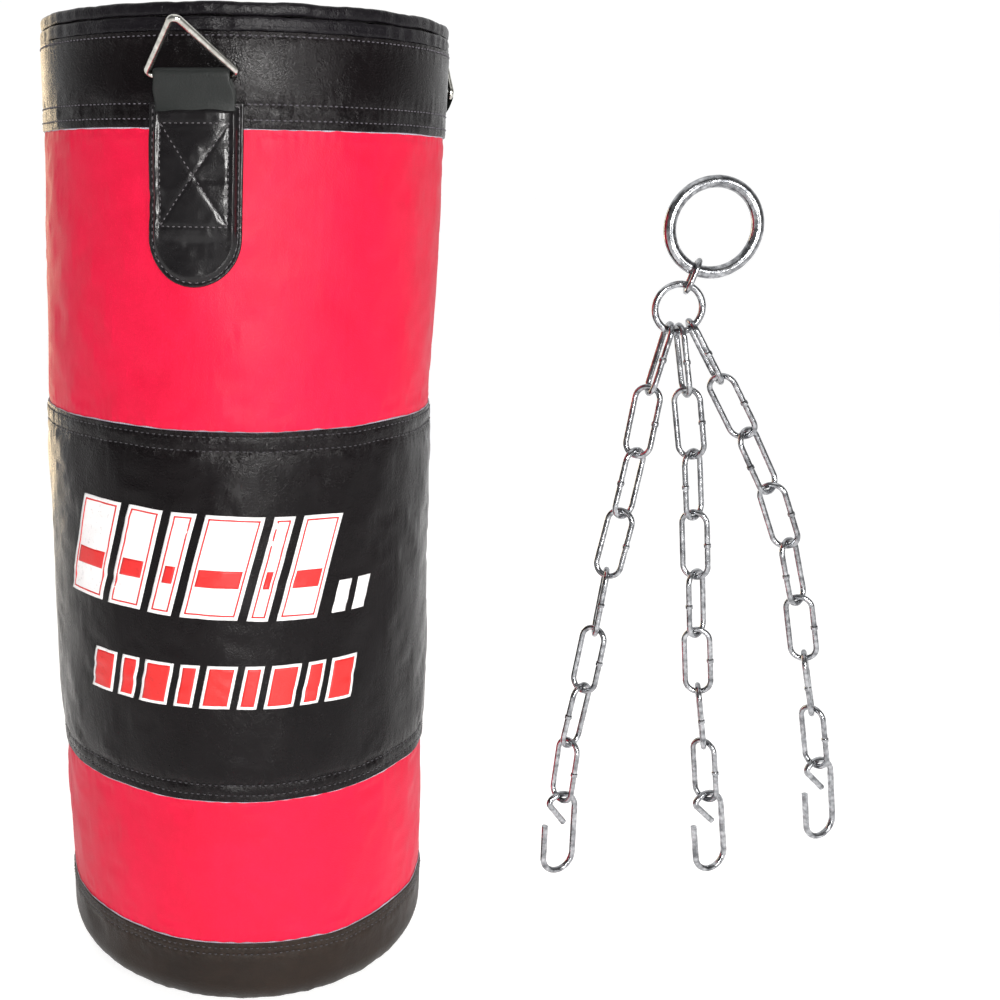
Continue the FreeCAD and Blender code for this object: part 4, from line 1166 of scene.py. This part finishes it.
def framed(corners, inset, wide):
    """Four thin strips just inside a bar's edge."""
    c = np.array(corners, float)
    d = 180 / math.pi / R
    q = c.copy()
    q[:, 0] /= d
    cen = q.mean(0)

    def shrink(k):
        out = []
        for i in range(4):
            p, a_, b_ = q[i], q[i - 1] - q[i], q[(i + 1) % 4] - q[i]
            a_, b_ = a_ / np.linalg.norm(a_), b_ / np.linalg.norm(b_)
            s = abs(a_[0] * b_[1] - a_[1] * b_[0])
            out.append(p + (a_ + b_) * k / s)
        return np.array(out)
    o, i_ = shrink(inset), shrink(inset + wide)
    strips = []
    for k in range(4):
        n = (k + 1) % 4
        s = np.array([o[k], o[n], i_[n], i_[k]])
        s[:, 0] *= d
        strips.append(s)
    return strips


white, red = [], []
LEAN = 20.0
x = -145.0
for width in (37.0, 27.0, 18.0, 41.0, 15.0, 30.0):
    c = bar(x, x + width, 322.0, 399.0, LEAN, -0.03)
    white.append((*film(c, -0.30, 0.42), 0, 0.0))
    for s_ in framed(c, 2.6, 1.1):
        red.append((*film(s_, -0.10, 0.66), 0, 0.0))
    lift_ = LEAN * 24 / 77
    mid = bar(x + 5.2 + lift_, x + width - 5.2 + lift_, 346.0, 359.0, LEAN * 13 / 77, -0.03)
    red.append((*film(mid, -0.10, 0.68), 0, 0.0))
    x += width + 6.5
x = -124.0
for k in range(9):
    width = (22.0, 14.0, 22.0, 14.0, 22.0, 14.0, 22.0, 14.0, 22.0)[k]
    c = bar(x, x + width, 254.0, 287.0, 7.0, 0.0)
    white.append((*film(c, -0.30, 0.42), 0, 0.0))
    d = 180 / math.pi / R
    c2 = bar(x + 2.2, x + width - 2.2, 256.2, 284.8, 6.0, 0.0)
    c2 = [(a_[0] + 0.5 * d, a_[1]) for a_ in c2]
    red.append((*film(c2, -0.10, 0.62), 0, 0.0))
    x += width + 5.2
for k in range(2):
    x = 68.0 + 17.0 * k
    c = bar(x, x + 11.0, 322.0, 346.0, 6.0, 0.0)
    white.append((*film(c, -0.30, 0.42), 0, 0.0))
for name, parts, mat_ in (("print_white", white, WHITE_INK), ("print_red", red, RED_INK)):
    v, f, m, s = joined(parts)
    ob = make(name, v, f, [mat_], m, s)
    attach(ob, BAG)

# -------------------------------------------------------------------------- the filling
IN = 144
PHI_IN = np.arange(IN) / IN * TAU


def column(profile, wobble, seed):
    """A closed turned body with an uneven side: profile is (radius, height), from the axis back to the axis."""
    w = waves((2, 14), 0.03, seed)
    rows = []
    for r_, z_ in profile:
        rad = np.maximum(r_ + wobble * w(PHI_IN, z_) * min(1.0, r_ / 40.0), 0.0)
        rows.append(np.stack((bow(z_) + rad * np.sin(PHI_IN), -rad * np.cos(PHI_IN), np.full(IN, z_)), -1))
    return np.stack(rows)


def turned(name, profile, wobble, seed, mat_, closed_ring):
    rows = column(profile, wobble, seed)
    n = len(profile)
    if closed_ring:
        v = rows.reshape(-1, 3)
        f = outward(v, wound(n, IN, True, True))
    else:
        v = rows.reshape(-1, 3)
        f = [tuple(q) for q in wound(n, IN, False, True)]
        f = f + [tuple(reversed(range(IN))), tuple(range((n - 1) * IN, n * IN))]
        if volume(v, [q for q in f if len(q) == 4]) < 0:
            f = [q[::-1] for q in f]
    return make(name, v, f, [mat_], None, None)


w0, w1_ = span("foam_wrap", 2)
r_wrap = (span("foam_wrap", 0)[1] - span("foam_wrap", 0)[0]) / 2
core0, core1 = span("textile_core", 2)
r_core = (span("textile_core", 0)[1] - span("textile_core", 0)[0]) / 2
pad0, pad1 = span("base_pad", 2)
r_pad = (span("base_pad", 0)[1] - span("base_pad", 0)[0]) / 2
tp0, tp1 = span("top_pad", 2)
r_tp = (span("top_pad", 0)[1] - span("top_pad", 0)[0]) / 2


def rounded(r_in, r_out, z0_, z1_, k, step=9.0):
    """A ring's closed outline with rounded rims."""
    pts = []
    for t in np.linspace(-90, 0, 5):
        pts.append((r_out - k + k * math.cos(math.radians(t)), z0_ + k + k * math.sin(math.radians(t))))
    for z_ in np.arange(z0_ + k + step, z1_ - k - step / 2, step):
        pts.append((r_out, z_))
    for t in np.linspace(0, 90, 5):
        pts.append((r_out - k + k * math.cos(math.radians(t)), z1_ - k + k * math.sin(math.radians(t))))
    for t in np.linspace(90, 180, 5):
        pts.append((r_in + k + k * math.cos(math.radians(t)), z1_ - k + k * math.sin(math.radians(t))))
    for z_ in np.arange(z1_ - k - step, z0_ + k + step / 2, -step):
        pts.append((r_in, z_))
    for t in np.linspace(180, 270, 5):
        pts.append((r_in + k + k * math.cos(math.radians(t)), z0_ + k + k * math.sin(math.radians(t))))
    return pts


wrap = turned("foam_wrap_sheet", rounded(r_wrap - 9.4, r_wrap - 1.6, w0, w1_, 3.2), 0.35, 61, FOAM, True)


def drum(r_, z0_, z1_, k, step, dish=0.0):
    pts = [(6.0, z0_ - 0.0)]
    for t in np.linspace(0.2, 1.0, 6):
        pts.append(((r_ - k) * t, z0_ + dish * (1 - t * t) * 0.0))
    for t in np.linspace(-75, 0, 5):
        pts.append((r_ - k + k * math.cos(math.radians(t)), z0_ + k + k * math.sin(math.radians(t))))
    for z_ in np.arange(z0_ + k + step, z1_ - k - step / 2, step):
        pts.append((r_, z_))
    for t in np.linspace(0, 75, 5):
        pts.append((r_ - k + k * math.cos(math.radians(t)), z1_ - k + k * math.sin(math.radians(t))))
    for t in np.linspace(1.0, 0.2, 6):
        pts.append(((r_ - k) * t, z1_ - dish * t * t + 0.0))
    pts.append((6.0, z1_))
    return pts


core = turned("textile_core_fill", drum(r_core - 2.6, core0, core1, 9.0, 12.0, 2.0), 1.6, 62, RAGS, False)
basepad = turned("base_pad_foam", drum(r_pad - 0.8, pad0 + 0.2, pad1 - 0.2, 3.6, 3.0, 0.8), 0.5, 63, FOAM, False)
toppad = turned("top_pad_foam", drum(r_tp - 2.4, tp0 + 0.2, tp1 - 0.3, 6.0, 5.0, 2.5), 0.6, 64, FOAM, False)
for ob, node, fill_slot, full in ((wrap, "foam_wrap", "foam", 1.0), (core, "textile_core", "textile_fill", 0.9),
                                  (basepad, "base_pad", "foam", 0.9), (toppad, "top_pad", "foam", 0.9)):
    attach(ob, BAG)
    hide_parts(node)

# ------------------------------------------------------------------- carried-over CAD metal
for name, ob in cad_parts.items():
    if name.startswith("triangle_ring") or name == "hanging_ring":
        mat_ = RING if name.startswith("triangle") else ZINC
    elif name in ("zip_slider", "zip_pull"):
        mat_ = PULL
    elif name.endswith("_hook") or "_link_" in name or name in ("connector_link", "collector_ring"):
        mat_ = ZINC
    else:
        continue
    for s in ob.material_slots:
        s.link = "OBJECT"
        s.material = mat_
    if not ob.material_slots:
        ob.data.materials.append(mat_)

# ------------------------------------------------------------------------ floor and lights
fl = Nodes("floor_painted_glow")
fl.set(Base_Color=fl.mix(fl.fit(fl.noise(1.2, 3.0), 0.3, 0.7), (0.56, 0.56, 0.563), (0.60, 0.60, 0.60)))
fl.b.inputs["Roughness"].default_value = 0.75
fl.b.inputs["Specular IOR Level"].default_value = 0.1
# The floor glows by its own emission, weaker towards the camera and strongest under and behind the bag: a painted glow,
# not a lamp.
fl.b.inputs["Emission Color"].default_value = (1.0, 1.0, 1.0, 1.0)
ft = fl.mat.node_tree
fc = ft.nodes.new("ShaderNodeTexCoord")
fx = ft.nodes.new("ShaderNodeSeparateXYZ")
ft.links.new(fc.outputs["Object"], fx.inputs[0])
fr = ft.nodes.new("ShaderNodeMapRange")
fr.interpolation_type = "SMOOTHSTEP"
ft.links.new(fx.outputs["Y"], fr.inputs["Value"])
for key_, v_ in (("From Min", -1.4), ("From Max", -0.14), ("To Min", 0.16), ("To Max", 0.70)):
    fr.inputs[key_].default_value = v_
ft.links.new(fr.outputs["Result"], fl.b.inputs["Emission Strength"])
me = bpy.data.meshes.new("floor")
n = 96
rads = [0.0001, 1.0, 2.5, 4.0, 6.0, 9.0, 14.0, 22.0, 32.0, 44.0]
verts = [(r_ * math.cos(k / n * TAU), r_ * math.sin(k / n * TAU), -0.0004) for r_ in rads for k in range(n)]
me.from_pydata(verts, [], [tuple(int(x) for x in q) for q in wound(len(rads), n, False, True, True)])
me.materials.append(fl.mat)
floor = bpy.data.objects.new("floor", me)
SCENE.collection.objects.link(floor)

world = bpy.data.worlds.new("studio")
SCENE.world = world
world.use_nodes = True
bg = world.node_tree.nodes["Background"]
wt = world.node_tree
wc = wt.nodes.new("ShaderNodeTexCoord")
wx = wt.nodes.new("ShaderNodeSeparateXYZ")
wt.links.new(wc.outputs["Generated"], wx.inputs[0])
wr = wt.nodes.new("ShaderNodeMapRange")
wr.interpolation_type = "SMOOTHSTEP"
wt.links.new(wx.outputs["Y"], wr.inputs["Value"])
for key_, v_ in (("From Min", -0.3), ("From Max", 0.76), ("To Min", 0.17), ("To Max", 1.03)):
    wr.inputs[key_].default_value = v_
bg.inputs["Color"].default_value = (1.0, 1.0, 1.0, 1.0)
wt.links.new(wr.outputs["Result"], bg.inputs["Strength"])


def lamp(name, at, aim, size, power, colour=(1, 1, 1)):
    d = bpy.data.lights.new(name, "AREA")
    d.shape = "RECTANGLE"
    d.size, d.size_y = size
    d.energy = power
    d.color = colour
    o = bpy.data.objects.new(name, d)
    o.location = at
    o.rotation_mode = "QUATERNION"
    o.rotation_quaternion = (Vector(aim) - Vector(at)).to_track_quat("-Z", "Y")
    SCENE.collection.objects.link(o)
    return o


lamp("key", (0.20, -2.0, 0.93), (0.05, 0.0, 0.42), (0.17, 0.62), 34.0, (1.0, 0.985, 0.97))
lamp("top", (0.1, -0.3, 2.6), (0.1, 0.0, 0.3), (1.8, 1.8), 8.0, (1.0, 1.0, 1.0))
lamp("strip", (1.15, -1.70, 0.78), (0.0, -0.1, 0.55), (0.24, 0.90), 11.0, (1.0, 0.99, 0.98))
lamp("low", (0.22, -2.0, 0.09), (0.05, 0.0, 0.42), (0.30, 0.14), 7.0, (1.0, 0.985, 0.97))
lamp("side", (-0.80, 1.30, 0.50), (-0.1, 0.0, 0.40), (0.35, 1.2), 5.5, (1.0, 0.74, 0.40))
